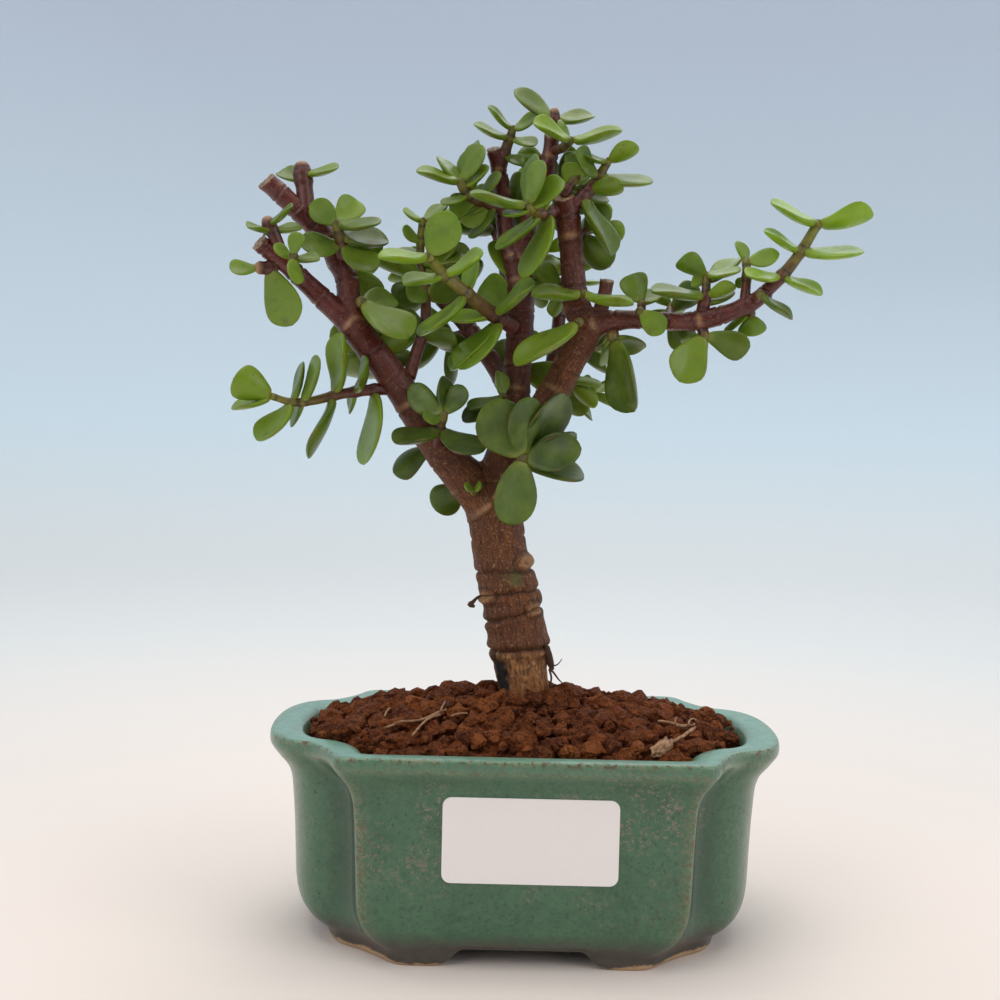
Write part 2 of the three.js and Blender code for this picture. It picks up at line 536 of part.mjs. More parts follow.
// The shoots behind, whose leaves all follow the rule: pairs up the stem, each a
// quarter turn from the last, standing closer to the stem and smaller towards its tip.
// [radius at the root, radius at the tip, points along the stem, pairs, longest leaf, first turn].
const ruledShoots = {
  back_left_end: [2, 1.2, [[-27.5, 25, 182], [-32.5, 29, 186], [-36.5, 31, 192]], 4, 14, 20],
  back_left_low: [1.8, 1.1, [[-18.5, 18, 172], [-27.5, 21, 170], [-35.5, 24, 171]], 4, 14, 70],
  back_left_up: [1.7, 1.1, [[-21.5, 20, 176], [-21.5, 24, 184], [-23.5, 28, 190]], 3, 13, 45],
  back_right_end: [2, 1.2, [[8.5, 31, 178], [10.5, 33, 186], [13.5, 33, 193]], 4, 14, 30],
  back_right_out: [1.8, 1.1, [[6.5, 26, 164], [14.5, 28, 167], [22.5, 29, 170]], 4, 14, 60],
  back_right_low: [1.8, 1.1, [[3.5, 18, 152], [10.5, 21, 152], [18.5, 22, 155]], 3, 14, 10],
  back_middle_end: [1.8, 1.1, [[-10.5, 27, 200], [-12.5, 30, 206], [-14.5, 31, 212]], 4, 13, 15],
  back_middle_right: [1.7, 1.1, [[-7, 20, 187], [-1.5, 24, 192], [3.5, 26, 198]], 4, 13, 50],
  back_middle_low: [1.8, 1.1, [[-4.5, 7, 160], [-3.5, 15, 162], [-3.5, 23, 166]], 3, 14, 35],
  leader_back: [1.8, 1.1, [[-9, 9, 205], [-7.5, 15, 209], [-5.5, 20, 215]], 4, 12, 25],
  crown_back_right: [1.7, 1.1, [[1.5, 4, 213], [6.5, 9, 216], [10.5, 13, 221]], 4, 12, 40],
  riser_back: [1.8, 1.1, [[9.5, -8, 198], [13.5, -1, 200], [17.5, 5, 203]], 4, 13, 20],
  limb_back: [1.8, 1.1, [[-45.5, -7, 164], [-46.5, 1, 166], [-47.5, 9, 170]], 4, 14, 30],
  left_leader_back: [1.8, 1.1, [[-54.5, -5, 187], [-53.5, 3, 190], [-52.5, 10, 195]], 4, 13, 55],
  branch_back: [1.7, 1.1, [[37.5, -12, 175], [38.5, -6, 177], [39.5, 1, 180]], 3, 13, 50],
};

// ---- how a leaf sits and how it is shaped

// A leaf's blade: root, unit axis, unit normal of its upper face, length, width, thickness.
// It is fleshy: a long leaf is thicker than a short one.
function blade(root, axis, normal, length, width, stemRadius) {
  const thick = THREE.MathUtils.clamp(0.13 * length, 1.2, 2);
  const across = normal.clone().cross(axis);
  return { root, axis, normal, across, length, width, thick, stemRadius };
}

// The normal that shows the given share of the blade's face to the front (-Y), on the
// side of it that turns the upper face towards the stem's tip.
function facing(axis, stemAlong, face) {
  const front = squareTo(axis, new THREE.Vector3(0, -1, 0));
  const side = axis.clone().cross(front);
  if (side.dot(stemAlong) < 0) side.negate();
  return front.multiplyScalar(face).addScaledVector(side, Math.sqrt(1 - face * face)).normalize();
}

// The point and direction at a share of a route's length.
function at(points, share) {
  const lengths = points.slice(1).map((p, i) => p.distanceTo(points[i]));
  let left = share * lengths.reduce((sum, length) => sum + length);
  let i = 0;
  while (i < lengths.length - 1 && left > lengths[i]) left -= lengths[i++];
  const along = points[i + 1].clone().sub(points[i]).normalize();
  return [points[i].clone().addScaledVector(along, left), along];
}

// Half the blade's width at shares of its length: narrow at the root, broadest past the
// middle, round at the tip.
const OUTLINE = [[0.4, 0.38], [0.82, 0.46]];
const ROOT_OUT = 0.7; // where in the stem the blade's root lies, as a share of the stem's radius
const CUP = 0.05; // how far the blade bows below its chord, as a share of its length

function leafSolid(leaf) {
  const { root, axis, normal, across, length, width, thick } = leaf;
  const spot = (along, side, up) =>
    root
      .clone()
      .addScaledVector(axis, along * length)
      .addScaledVector(across, side)
      .addScaledVector(normal, up - CUP * length * Math.sin(Math.PI * Math.max(0, along)));
  const rings = OUTLINE.map(([along, half]) => {
    const side = half * width;
    const up = thick / 2;
    return [spot(along, side, 0), spot(along, 0, up), spot(along, -side, 0), spot(along, 0, -up)];
  });
  return loft(rings, spot((ROOT_OUT * leaf.stemRadius) / length, 0, 0), spot(1, 0, 0));
}

// ---- bending leaves clear of wood, of other shoots' stems and of other shoots' leaves

const bars = Object.values(limbs).flatMap((route) => barsOf(route, "wood"));
const blades = [];
const LEAST_GAP = 0.5;

function barsOf(route, owner) {
  return route.slice(1).map((end, i) => {
    const [a, b] = [vec(route[i]), vec(end)];
    return { a, b, radius: Math.max(route[i][3], end[3]), owner };
  });
}

function distanceToBar(point, bar) {
  const along = bar.b.clone().sub(bar.a);
  const share = point.clone().sub(bar.a).dot(along) / along.lengthSq();
  const near = bar.a.clone().addScaledVector(along, THREE.MathUtils.clamp(share, 0, 1));
  return point.distanceTo(near);
}

function halfWidth(leaf, along) {
  const outline = [[0, 0.1], ...OUTLINE, [1, 0.05]];
  const i = outline.findIndex(([share]) => share >= along);
  const [low, high] = [outline[Math.max(0, i - 1)], outline[i]];
  const mix = i > 0 ? (along - low[0]) / (high[0] - low[0]) : 0;
  return (low[1] + (high[1] - low[1]) * mix) * leaf.width;
}

function samples(leaf) {
  const points = [];
  for (const along of [0.4, 0.55, 0.7, 0.85, 1])
    for (const side of [-0.95, -0.4, 0.4, 0.95])
      points.push(
        leaf.root
          .clone()
          .addScaledVector(leaf.axis, along * leaf.length)
          .addScaledVector(leaf.across, side * halfWidth(leaf, along))
          .addScaledVector(leaf.normal, -CUP * leaf.length * Math.sin(Math.PI * along)),
      );
  return points;
}

function pointInBlade(point, leaf, room) {
  const offset = point.clone().sub(leaf.root);
  const along = offset.dot(leaf.axis) / leaf.length;
  if (along < -0.05 || along > 1 + room / leaf.length) return false;
  const share = THREE.MathUtils.clamp(along, 0, 1);
  if (Math.abs(offset.dot(leaf.across)) > halfWidth(leaf, share) + room) return false;
  const bow = CUP * leaf.length * Math.sin(Math.PI * share);
  return Math.abs(offset.dot(leaf.normal) + bow) < leaf.thick / 2 + room;
}

function isClear(leaf, owner) {
  const points = samples(leaf);
  const room = leaf.thick / 2 + LEAST_GAP;
  for (const bar of bars)
    if (bar.owner !== owner)
      for (const point of points)
        if (distanceToBar(point, bar) < bar.radius + room) return false;
  for (const other of blades) {
    if (other.owner === owner) continue;
    if (other.root.distanceTo(leaf.root) > other.length + leaf.length + 2) continue;
    if (points.some((point) => pointInBlade(point, other, room))) return false;
    if (samples(other).some((point) => pointInBlade(point, leaf, other.thick / 2 + LEAST_GAP)))
      return false;
  }
  return true;
}

// The bends tried in turn: degrees of lift towards the upper face, degrees of swing
// to the side, and the share of the length kept.
const BENDS = [[0, 0, 1]];
for (const keep of [1, 0.85, 0.7])
  for (const reach of [10, 20, 32, 45])
    for (let step = 0; step < 8; step++)
      BENDS.push([
        reach * Math.sin((Math.PI / 4) * step),
        reach * Math.cos((Math.PI / 4) * step),
        keep,
      ]);

function bent(leaf, [lift, swing, keep]) {
  const axis = leaf.axis.clone().applyAxisAngle(leaf.across, degrees(-lift));
  const normal = leaf.normal.clone().applyAxisAngle(leaf.across, degrees(-lift));
  axis.applyAxisAngle(normal, degrees(swing));
  const [length, width] = [leaf.length * keep, leaf.width * Math.sqrt(keep)];
  return blade(leaf.root, axis, normal, length, width, leaf.stemRadius);
}

// ---- growing the shoots

function measuredLeaves([rootRadius, tipRadius, points, leaves]) {
  const stem = points.map(vec);
  return leaves.map(([share, x, y, z, width, face]) => {
    const [root, along] = at(stem, share);
    const reach = new THREE.Vector3(x, y, z);
    const axis = reach.clone().normalize();
    const stemRadius = rootRadius + (tipRadius - rootRadius) * share;
    return blade(root, axis, facing(axis, along, face), reach.length(), width, stemRadius);
  });
}

const OLD_SPREAD = 82;
const YOUNG_SPREAD = 48;

function ruledLeaves([rootRadius, tipRadius, points, pairs, longest, firstTurn]) {
  const stem = points.map(vec);
  const leaves = [];
  for (let pair = 0; pair < pairs; pair++) {
    const young = pairs > 1 ? pair / (pairs - 1) : 1;
    const share = 0.35 + 0.65 * young;
    const [root, along] = at(stem, share);
    const stemRadius = rootRadius + (tipRadius - rootRadius) * share;
    const spread = OLD_SPREAD + (YOUNG_SPREAD - OLD_SPREAD) * young;
    const turn = firstTurn + 90 * pair + draw(-12, 12);
    const sideways = squareTo(along, new THREE.Vector3(1, 0, 0.1));
    for (const half of [0, 180]) {
      const out = sideways.clone().applyAxisAngle(along, degrees(turn + half));
      const open = degrees(spread + draw(-9, 9));
      const axis = along.clone().multiplyScalar(Math.cos(open)).addScaledVector(out, Math.sin(open));
      const length = longest * (1 - 0.42 * young) * draw(0.9, 1.1);
      leaves.push(blade(root, axis, squareTo(axis, along), length, 0.7 * length, stemRadius));
    }
  }
  return leaves;
}

// Points [x, y, z, radius] along a shoot's stem, which ends in a bud past its last leaves.
const BUD = 1.4;

function stemRoute([rootRadius, tipRadius, points]) {
  const route = points.map((p, i) => {
    const share = i / (points.length - 1);
    return [...p, rootRadius + (tipRadius - rootRadius) * share];
  });
  const tip = vec(points.at(-1));
  const along = tip.clone().sub(vec(points.at(-2))).normalize();
  tip.addScaledVector(along, BUD);
  return [...route, [tip.x, tip.y, tip.z, tipRadius / 2]];
}

const allShoots = [
  ...Object.entries(shoots).map(([name, shoot]) => [name, shoot, measuredLeaves]),
  ...Object.entries(ruledShoots).map(([name, shoot]) => [name, shoot, ruledLeaves]),
];
for (const [name, shoot] of allShoots) bars.push(...barsOf(stemRoute(shoot), name));

function grow(name, shoot, leavesOf) {
  const parts = [tube(stemRoute(shoot), STEM_SIDES)];
  for (const wished of leavesOf(shoot)) {
    const bend = BENDS.find((tried) => isClear(bent(wished, tried), name));
    if (!bend) continue;
    const leaf = bent(wished, bend);
    blades.push({ ...leaf, owner: name });
    parts.push(leafSolid(leaf));
  }
  return biggest(union(parts).subtract(woodRoom));
}

const YOUNG_SHOOTS = ["front_shoot", "branch_tip", "riser_front"];
for (const [name, shoot, leavesOf] of allShoots)
  place(name, grow(name, shoot, leavesOf), YOUNG_SHOOTS.includes(name) ? youngLeafSkin : leafSkin);

// ---------------------------------------------------------------- soil
// Old roots and a chip of bark that lie on the soil.
const dryRoot = [[-38.5, -28, 61, 1.1], [-32, -25.5, 62.5, 1.2], [-22, -20.5, 64.4, 1.3],
  [-17, -15.5, 65.6, 1.2]];
const chipRoot = [[37.5, -33, 60.5, 1.2], [43.5, -27.5, 60.7, 1.2], [48, -18, 61.4, 1.2],
  [42.5, -18.5, 62.4, 1.1]];
const CHIP = { x: 36.2, y: -34.7, z: 59.8, length: 8, width: 4.5, height: 3.5, turn: 50 };

// The chip keeps a stub of root, which curls round over the soil.
function barkChip(extra) {
  const { length, width, height } = CHIP;
  const lump = new THREE.DodecahedronGeometry(1, 0);
  lump.scale(length / 2 + extra, width / 2 + extra, height / 2 + extra);
  lump.rotateZ(degrees(CHIP.turn));
  lump.translate(CHIP.x, CHIP.y, CHIP.z);
  return solidOf(lump).add(tube(chipRoot, STEM_SIDES, extra));
}

// How far out a point of the pot's plan lies: 0 at the trunk, 1 at the soil's edge,
// which is a rectangle with well rounded corners.
function outward(x, y) {
  return Math.cbrt(Math.abs(x / SOIL_HALF_X) ** 3 + Math.abs(y / SOIL_HALF_Y) ** 3);
}

// The soil's surface height over a point of the pot's plan.
function soilHeight(x, y) {
  const out = Math.min(1, outward(x, y));
  return SOIL_CROWN - (SOIL_CROWN - SOIL_EDGE) * out * out;
}

function granule(x, y) {
  const lump = new THREE.OctahedronGeometry(1, 0);
  const size = GRANULE_RADIUS * draw(0.8, 1.15);
  lump.scale(size * draw(0.9, 1.25), size * draw(0.8, 1.1), size * draw(0.65, 0.9));
  lump.rotateX(draw(-0.5, 0.5));
  lump.rotateY(draw(-0.5, 0.5));
  lump.rotateZ(draw(0, Math.PI));
  lump.translate(x, y, soilHeight(x, y) + draw(-3, -1.2));
  return solidOf(lump);
}

// The granules lie in rows, each shifted by half a step from the last and each a little
// out of place.
function granuleLayer() {
  const rowSpacing = GRANULE_SPACING * Math.sin(Math.PI / 3);
  const rows = Math.ceil((2 * BODY_HALF_Y) / rowSpacing);
  const columns = Math.ceil((2 * BODY_HALF_X) / GRANULE_SPACING);
  const jitter = GRANULE_SPACING / 8;
  const lumps = [];
  for (let row = 0; row <= rows; row++)
    for (let column = 0; column <= columns; column++) {
      const shift = column - columns / 2 + (row % 2) / 2;
      const x = shift * GRANULE_SPACING + draw(-jitter, jitter);
      const y = (row - rows / 2) * rowSpacing + draw(-jitter, jitter);
      if (outward(x, y) > 1 || Math.hypot(x, y) < TRUNK_ROOM) continue;
      lumps.push(granule(x, y));
    }
  return union(lumps);
}

// The bed under the granules, inside the pot's wall and clear of the drain nets.
function soil() {
  const side = WALL + 2 * GAP;
  const full = 47.6; // height up to which the bed fills the pot from wall to wall
  const bed = loft(
    [
      [side + 7, FLOOR_TOP + 2 * GAP],
      [side, FLOOR_TOP + 7 + 2 * GAP],
      [side, full],
      [side + 3, SOIL_EDGE - 1],
      [side + 16, SOIL_EDGE + 3],
    ].map(([distance, z]) => planInset(distance, z)),
    undefined,
    new THREE.Vector3(0, 0, SOIL_CROWN - 2),
  );
  const bowl = loft([
    planInset(side, full),
    planInset(side - 2.4, 54.6, 0.8),
    planInset(side - 2.4, SOIL_CROWN + 2 * GRANULE_RADIUS, 0.8),
  ]);
  const netRoom = NET.half + GAP;
  const netTop = FLOOR_TOP + NET.thick + 2 * GAP;
  const rooms = [
    tube(limbs.trunk.slice(0, 5), WOOD_SIDES, GAP),
    tube(dryRoot, STEM_SIDES, GAP),
    barkChip(GAP),
    ...drainXs.map((x) => slab(netRoom, netRoom, 0, netTop, x)),
  ];
  const filled = bed.add(granuleLayer().intersect(bowl));
  return biggest(rooms.reduce((left, room) => left.subtract(room), filled));
}
place("soil", soil(), granules);

place("dry_root", tube(dryRoot, STEM_SIDES), dryWood);
place("bark_chip", barkChip(0), dryWood);

group.position.x = POT_SHIFT;

export default group;
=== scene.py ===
import math

import bmesh
import bpy
import numpy as np
from mathutils import Matrix, Vector, noise
from mathutils.kdtree import KDTree


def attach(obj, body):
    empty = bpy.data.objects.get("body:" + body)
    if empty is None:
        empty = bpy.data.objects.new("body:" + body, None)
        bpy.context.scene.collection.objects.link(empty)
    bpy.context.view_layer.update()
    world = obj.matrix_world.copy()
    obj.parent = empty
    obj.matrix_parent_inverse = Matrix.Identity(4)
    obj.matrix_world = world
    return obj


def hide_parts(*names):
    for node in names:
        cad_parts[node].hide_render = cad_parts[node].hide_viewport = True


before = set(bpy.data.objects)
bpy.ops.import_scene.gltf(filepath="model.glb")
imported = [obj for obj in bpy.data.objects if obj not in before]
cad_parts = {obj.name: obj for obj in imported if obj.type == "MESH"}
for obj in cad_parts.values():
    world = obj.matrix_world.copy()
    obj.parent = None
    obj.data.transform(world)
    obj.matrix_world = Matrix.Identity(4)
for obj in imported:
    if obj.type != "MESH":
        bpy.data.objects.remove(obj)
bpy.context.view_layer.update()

# ---------------------------------------------------------------- camera
# A short telephoto view from 41 cm in front of the pot, at the height of the crown, tipped
# down by 3 degrees and rolled by a little over 1.
MM = 0.001  # sizes and places below are in millimetres, and Blender's unit is the metre
CAMERA_PLACE = Vector((-12.4, -412.5, 144)) * MM
CAMERA_DOWN = math.radians(2.95)
CAMERA_ROLL = math.radians(-1.33)
FOCAL_WIDTHS = 1.423  # focal length as a share of the picture's width

scene = bpy.context.scene
scene.view_settings.view_transform = "Standard"
camera_data = bpy.data.cameras.new("camera")
camera_data.sensor_width = 36
camera_data.lens = FOCAL_WIDTHS * camera_data.sensor_width
camera_data.clip_start = 0.01
camera = bpy.data.objects.new("camera", camera_data)
scene.collection.objects.link(camera)
level_right = Vector((1, 0, 0))
level_up = Vector((0, math.sin(CAMERA_DOWN), math.cos(CAMERA_DOWN)))
ahead = Vector((0, math.cos(CAMERA_DOWN), -math.sin(CAMERA_DOWN)))
right = level_right * math.cos(CAMERA_ROLL) - level_up * math.sin(CAMERA_ROLL)
up = level_right * math.sin(CAMERA_ROLL) + level_up * math.cos(CAMERA_ROLL)
turned = Matrix((right, up, -ahead)).transposed().to_4x4()
camera.matrix_world = Matrix.Translation(CAMERA_PLACE) @ turned
scene.camera = camera


# ---------------------------------------------------------------- studio light
# Soft boxes over and in front of the tree, a weak one behind it, and pale light from all
# round, so that the shadows are faint and the leaves show a broad sheen.
def softbox(name, place, aim, size, watts, tint):
    light = bpy.data.lights.new(name, "AREA")
    light.shape = "RECTANGLE"
    light.size, light.size_y = size
    light.energy = watts
    light.color = tint
    lamp = bpy.data.objects.new(name, light)
    lamp.location = place
    lamp.rotation_euler = (Vector(aim) - Vector(place)).to_track_quat("-Z", "Y").to_euler()
    scene.collection.objects.link(lamp)


DAYLIGHT = (1.0, 0.985, 0.96)
softbox("top_light", (-0.1, 0.15, 1.25), (0, 0, 0.1), (1.1, 1.1), 6, DAYLIGHT)
softbox("left_light", (-0.75, -0.8, 0.75), (0, 0, 0.1), (0.8, 0.8), 3.5, DAYLIGHT)
softbox("right_light", (0.85, -0.65, 0.6), (0, 0, 0.1), (0.7, 0.7), 3.1, (1.0, 0.98, 0.95))
softbox("back_light", (0.3, 0.95, 0.9), (0, 0, 0.1), (0.9, 0.6), 2, (0.94, 0.97, 1.0))
world = bpy.data.worlds.new("studio")
scene.world = world
world.use_nodes = True
world.node_tree.nodes["Background"].inputs["Color"].default_value = (1.0, 0.97, 0.94, 1)
world.node_tree.nodes["Background"].inputs["Strength"].default_value = 0.62


# ---------------------------------------------------------------- paper sweep
# The floor and the background are one sheet of pale paper that curves up all round. It is
# a warm white under the pot and turns to a pale blue-grey up the wall.
FLOOR_RADIUS = 0.9
BEND_RADIUS = 0.6
WALL_TOP = 1.7


def start_finish(name, sockets):
    """A material with fixed values on its shader: its node tree and the shader."""
    finish = bpy.data.materials.new(name)
    finish.use_nodes = True
    shader = finish.node_tree.nodes["Principled BSDF"]
    for socket, value in sockets.items():
        shader.inputs[socket].default_value = value
    return finish, finish.node_tree, shader


def add(tree, kind, inputs=None, **settings):
    """A shader node. Each input is a fixed value or another node's output."""
    made = tree.nodes.new("ShaderNode" + kind)
    for setting, value in settings.items():
        setattr(made, setting, value)
    for socket, value in (inputs or {}).items():
        if isinstance(value, bpy.types.NodeSocket):
            tree.links.new(value, made.inputs[socket])
        else:
            made.inputs[socket].default_value = value
    return made


def places_of(tree):
    return add(tree, "TexCoord").outputs["Object"]


def attribute(tree, name, output="Fac"):
    return add(tree, "Attribute", attribute_name=name).outputs[output]


def mottle(tree, where, scale, detail=3.0, rough=0.55):
    """Noise from 0 to 1 with a patch about 1/scale metres wide."""
    inputs = {"Vector": where, "Scale": scale, "Detail": detail, "Roughness": rough}
    return add(tree, "TexNoise", inputs).outputs[0]


def span(tree, value, low, high, to_low=0.0, to_high=1.0):
    """value's stretch from low to high, spread over another and cut off at its ends."""
    inputs = {"Value": value, "From Min": low, "From Max": high, "To Min": to_low, "To Max": to_high}
    return add(tree, "MapRange", inputs, clamp=True).outputs[0]


def sums(tree, operation, a, b):
    return add(tree, "Math", {0: a, 1: b}, operation=operation).outputs[0]


def tinted(tree, share, under, over, mode="MIX"):
    """One colour over another, by a share from 0 to 1."""
    rgba = lambda c: c if isinstance(c, bpy.types.NodeSocket) else (*c, 1)
    inputs = {0: share, 6: rgba(under), 7: rgba(over)}
    return add(tree, "Mix", inputs, data_type="RGBA", blend_type=mode).outputs[2]


def raised(tree, shader, height, depth, strength=1.0):
    """Bumps the surface: height 0 to 1 stands for that depth in metres."""
    bump = add(tree, "Bump", {"Height": height, "Distance": depth, "Strength": strength})
    tree.links.new(bump.outputs[0], shader.inputs["Normal"])


def paint(tree, shader, colour, roughness=None):
    tree.links.new(colour, shader.inputs["Base Color"])
    if roughness is not None:
        tree.links.new(roughness, shader.inputs["Roughness"])


def make_piece(name, bm, *finishes):
    """The finished bmesh as a smooth object at the origin, with its materials."""
    mesh = bpy.data.meshes.new(name)
    bm.to_mesh(mesh)
    bm.free()
    for finish in finishes:
        mesh.materials.append(finish)
    mesh.shade_smooth()
    piece = bpy.data.objects.new(name, mesh)
    scene.collection.objects.link(piece)
    return piece


def paper_finish():
    finish, tree, shader = start_finish("sweep_paper", {"Roughness": 0.9, "Specular IOR Level": 0.1})
    parts = add(tree, "SeparateXYZ", {0: places_of(tree)}).outputs
    flat = add(tree, "CombineXYZ", {0: parts[0], 1: parts[1]}).outputs[0]
    out = add(tree, "VectorMath", {0: flat}, operation="LENGTH").outputs["Value"]
    floor = tinted(tree, span(tree, out, 0.14, 0.6), (0.95, 0.85, 0.785), (0.82, 0.84, 0.83))
    low = tinted(tree, span(tree, parts[2], 0.0, 0.14), floor, (0.73, 0.86, 0.94))
    wall = tinted(tree, span(tree, parts[2], 0.14, 0.65), low, (0.64, 0.71, 0.82))
    # The side towards the camera is a greyer room, so the gloss shows no white haze.
    paint(tree, shader, tinted(tree, span(tree, parts[1], -1.3, -0.45, 1, 0), wall, (0.23, 0.235, 0.24)))
    return finish


def sweep():
    bm = bmesh.new()
    bend = [math.radians(angle) for angle in range(0, 91, 6)]
    outline = [(0.0, 0.0), (0.3, 0.0), (0.6, 0.0)]
    outline += [(FLOOR_RADIUS + BEND_RADIUS * math.sin(a), BEND_RADIUS * (1 - math.cos(a))) for a in bend]
    outline.append((FLOOR_RADIUS + BEND_RADIUS, WALL_TOP))
    spots = [bm.verts.new((out, 0, high)) for out, high in outline]
    lines = [bm.edges.new(pair) for pair in zip(spots, spots[1:])]
    whole = {"cent": (0, 0, 0), "axis": (0, 0, 1), "angle": 2 * math.pi, "steps": 96}
    bmesh.ops.spin(bm, geom=spots + lines, use_merge=True, **whole)
    bmesh.ops.remove_doubles(bm, verts=bm.verts, dist=1e-5)
    bmesh.ops.recalc_face_normals(bm, faces=bm.faces)
    if min(bm.faces, key=lambda face: face.calc_center_median().length).normal.z < 0:
        bmesh.ops.reverse_faces(bm, faces=bm.faces)
    return make_piece("paper_sweep", bm, paper_finish())


sweep()

# ---------------------------------------------------------------- pot
# A stoneware pot, pressed in a mould: two flat panels, a side that bulges out between
# indented corners, a flared lip and four feet. Its green glaze breaks to tan where it runs
# thin on the lip and ridges, and to charcoal on the feet, which stand on bare clay.
POT_SHIFT = -3.8  # the pot's place from the middle of the whole object's box, along X
BODY_HALF = (66.8, 44.3)
# A quarter of the plan: a panel, its ridge, the corner's hollow and a side lobe. The lip's
# corners are less hollow than the body's, and the feet's are not hollow at all.
BODY_PLAN = {"panel": 42.5, "ridge": [(45.5, 44.3), (45.5, 41.3)],
             "hollow": [(45.5, 33), (46.5, 29.5), (52, 28.8)], "lobe": [(62, 27.5), (66.8, 17), (66.8, 0)]}
LIP_PLAN = {"panel": 42, "ridge": [(45.6, 44.3), (46.6, 41.2)],
            "hollow": [(47.5, 38.5), (50.3, 30.3), (55.5, 27.2)],
            "lobe": [(63.5, 25.6), (66.8, 16.5), (66.8, 0)]}
FOOT_PLAN = {"panel": 37, "ridge": [(40.6, 44.3), (43, 42)],
             "hollow": [(47, 38), (52, 33), (58, 29.5)], "lobe": [(64.5, 26), (66.8, 16.5), (66.8, 0)]}
PANEL_SHARES = (0, 0.14, 0.26, 0.32, 0.36, 0.4, 0.44, 0.48, 0.52, 0.56, 0.6, 0.66, 0.75, 0.87, 0.95, 1)
ARCHES = {"front": (15.8, 21.8), "side": (9, 14.5)}  # half widths at the roof and at the table
ARCH_HEIGHT = 4.6
FOOT_TOP = 8
DRAIN_X = 30
DRAIN_RADIUS = 7


def curve_points(controls, steps):
    """Points along a Bezier curve of any degree, without its first."""
    found = []
    for step in range(1, steps + 1):
        row = [Vector(p) for p in controls]
        while len(row) > 1:
            row = [a.lerp(b, step / steps) for a, b in zip(row, row[1:])]
        found.append(row[0])
    return found


def quarter_of(plan):
    """A quarter of the pot's outline, from the front panel's middle to the side."""
    quarter = [Vector((share * plan["panel"], BODY_HALF[1])) for share in PANEL_SHARES]
    for bend, steps in (("ridge", 4), ("hollow", 9), ("lobe", 16)):
        quarter += curve_points([quarter[-1], *plan[bend]], steps)
    return quarter


BODY_QUARTER, LIP_QUARTER, FOOT_QUARTER = (quarter_of(plan) for plan in (BODY_PLAN, LIP_PLAN, FOOT_PLAN))


def set_ring(spots, step, new, height, kind=0):
    """Puts a ring's points on the plan at the given shares: -1 feet, 0 body, 1 lip."""
    other = FOOT_QUARTER if kind < 0 else LIP_QUARTER
    for spot in spots:
        flat = BODY_QUARTER[spot[step]].lerp(other[spot[step]], abs(kind))
        x, y = math.copysign(flat.x * new[0], spot.co.x), math.copysign(flat.y * new[1], spot.co.y)
        spot.co = (x, y, height)


def first_ring(bm, new, height):
    """One closed ring of edges round the pot's plan, a quarter mirrored twice, closed by a face."""
    step = bm.verts.layers.int.new("step")
    spots = [bm.verts.new((p.x, p.y, 0)) for p in BODY_QUARTER]
    for i, spot in enumerate(spots):
        spot[step] = i
    for pair in zip(spots, spots[1:]):
        bm.edges.new(pair)
    for axis in "XY":
        whole = bm.verts[:] + bm.edges[:]
        bmesh.ops.mirror(bm, geom=whole, matrix=Matrix(), merge_dist=1e-3, axis=axis)
    set_ring(bm.verts, step, new, height)
    ring = bm.edges[:]
    bmesh.ops.contextual_create(bm, geom=ring)
    return step, ring


def extruded(bm, ring):
    """Extrudes a ring of edges in place: the new ring's points and edges."""
    made = bmesh.ops.extrude_edge_only(bm, edges=ring)["geom"]
    spots = [part for part in made if isinstance(part, bmesh.types.BMVert)]
    lines = [part for part in made if isinstance(part, bmesh.types.BMEdge)]
    return spots, [line for line in lines if line.verts[0] in spots and line.verts[1] in spots]


def grow_ring(bm, ring, step, new, height, kind=0):
    """Extrudes a ring of edges to the next shares and height."""
    spots, ring = extruded(bm, ring)
    set_ring(spots, step, new, height, kind)
    return spots, ring


def shares(inset):
    """The shares of the plan for a ring drawn in by the same distance on every side."""
    return 1 - inset / BODY_HALF[0], 1 - inset / BODY_HALF[1]


def eased(value, low, high):
    """A smooth step from 1 at low to 0 at high."""
    share = min(1, max(0, (value - low) / (high - low)))
    return 1 - share * share * (3 - 2 * share)


def arch_at(x, y):
    """1 where an arch between two feet is fully open, 0 on a foot."""
    return max(eased(abs(x), *ARCHES["front"]), eased(abs(y), *ARCHES["side"]))


def set_down(bm):
    """Turns millimetres from the pot's middle into the frame's metres, with the faces outward."""
    place = Matrix.Translation((POT_SHIFT * MM, 0, 0)) @ Matrix.Scale(MM, 4)
    bmesh.ops.transform(bm, matrix=place, verts=bm.verts)
    bmesh.ops.recalc_face_normals(bm, faces=bm.faces)
    return bm


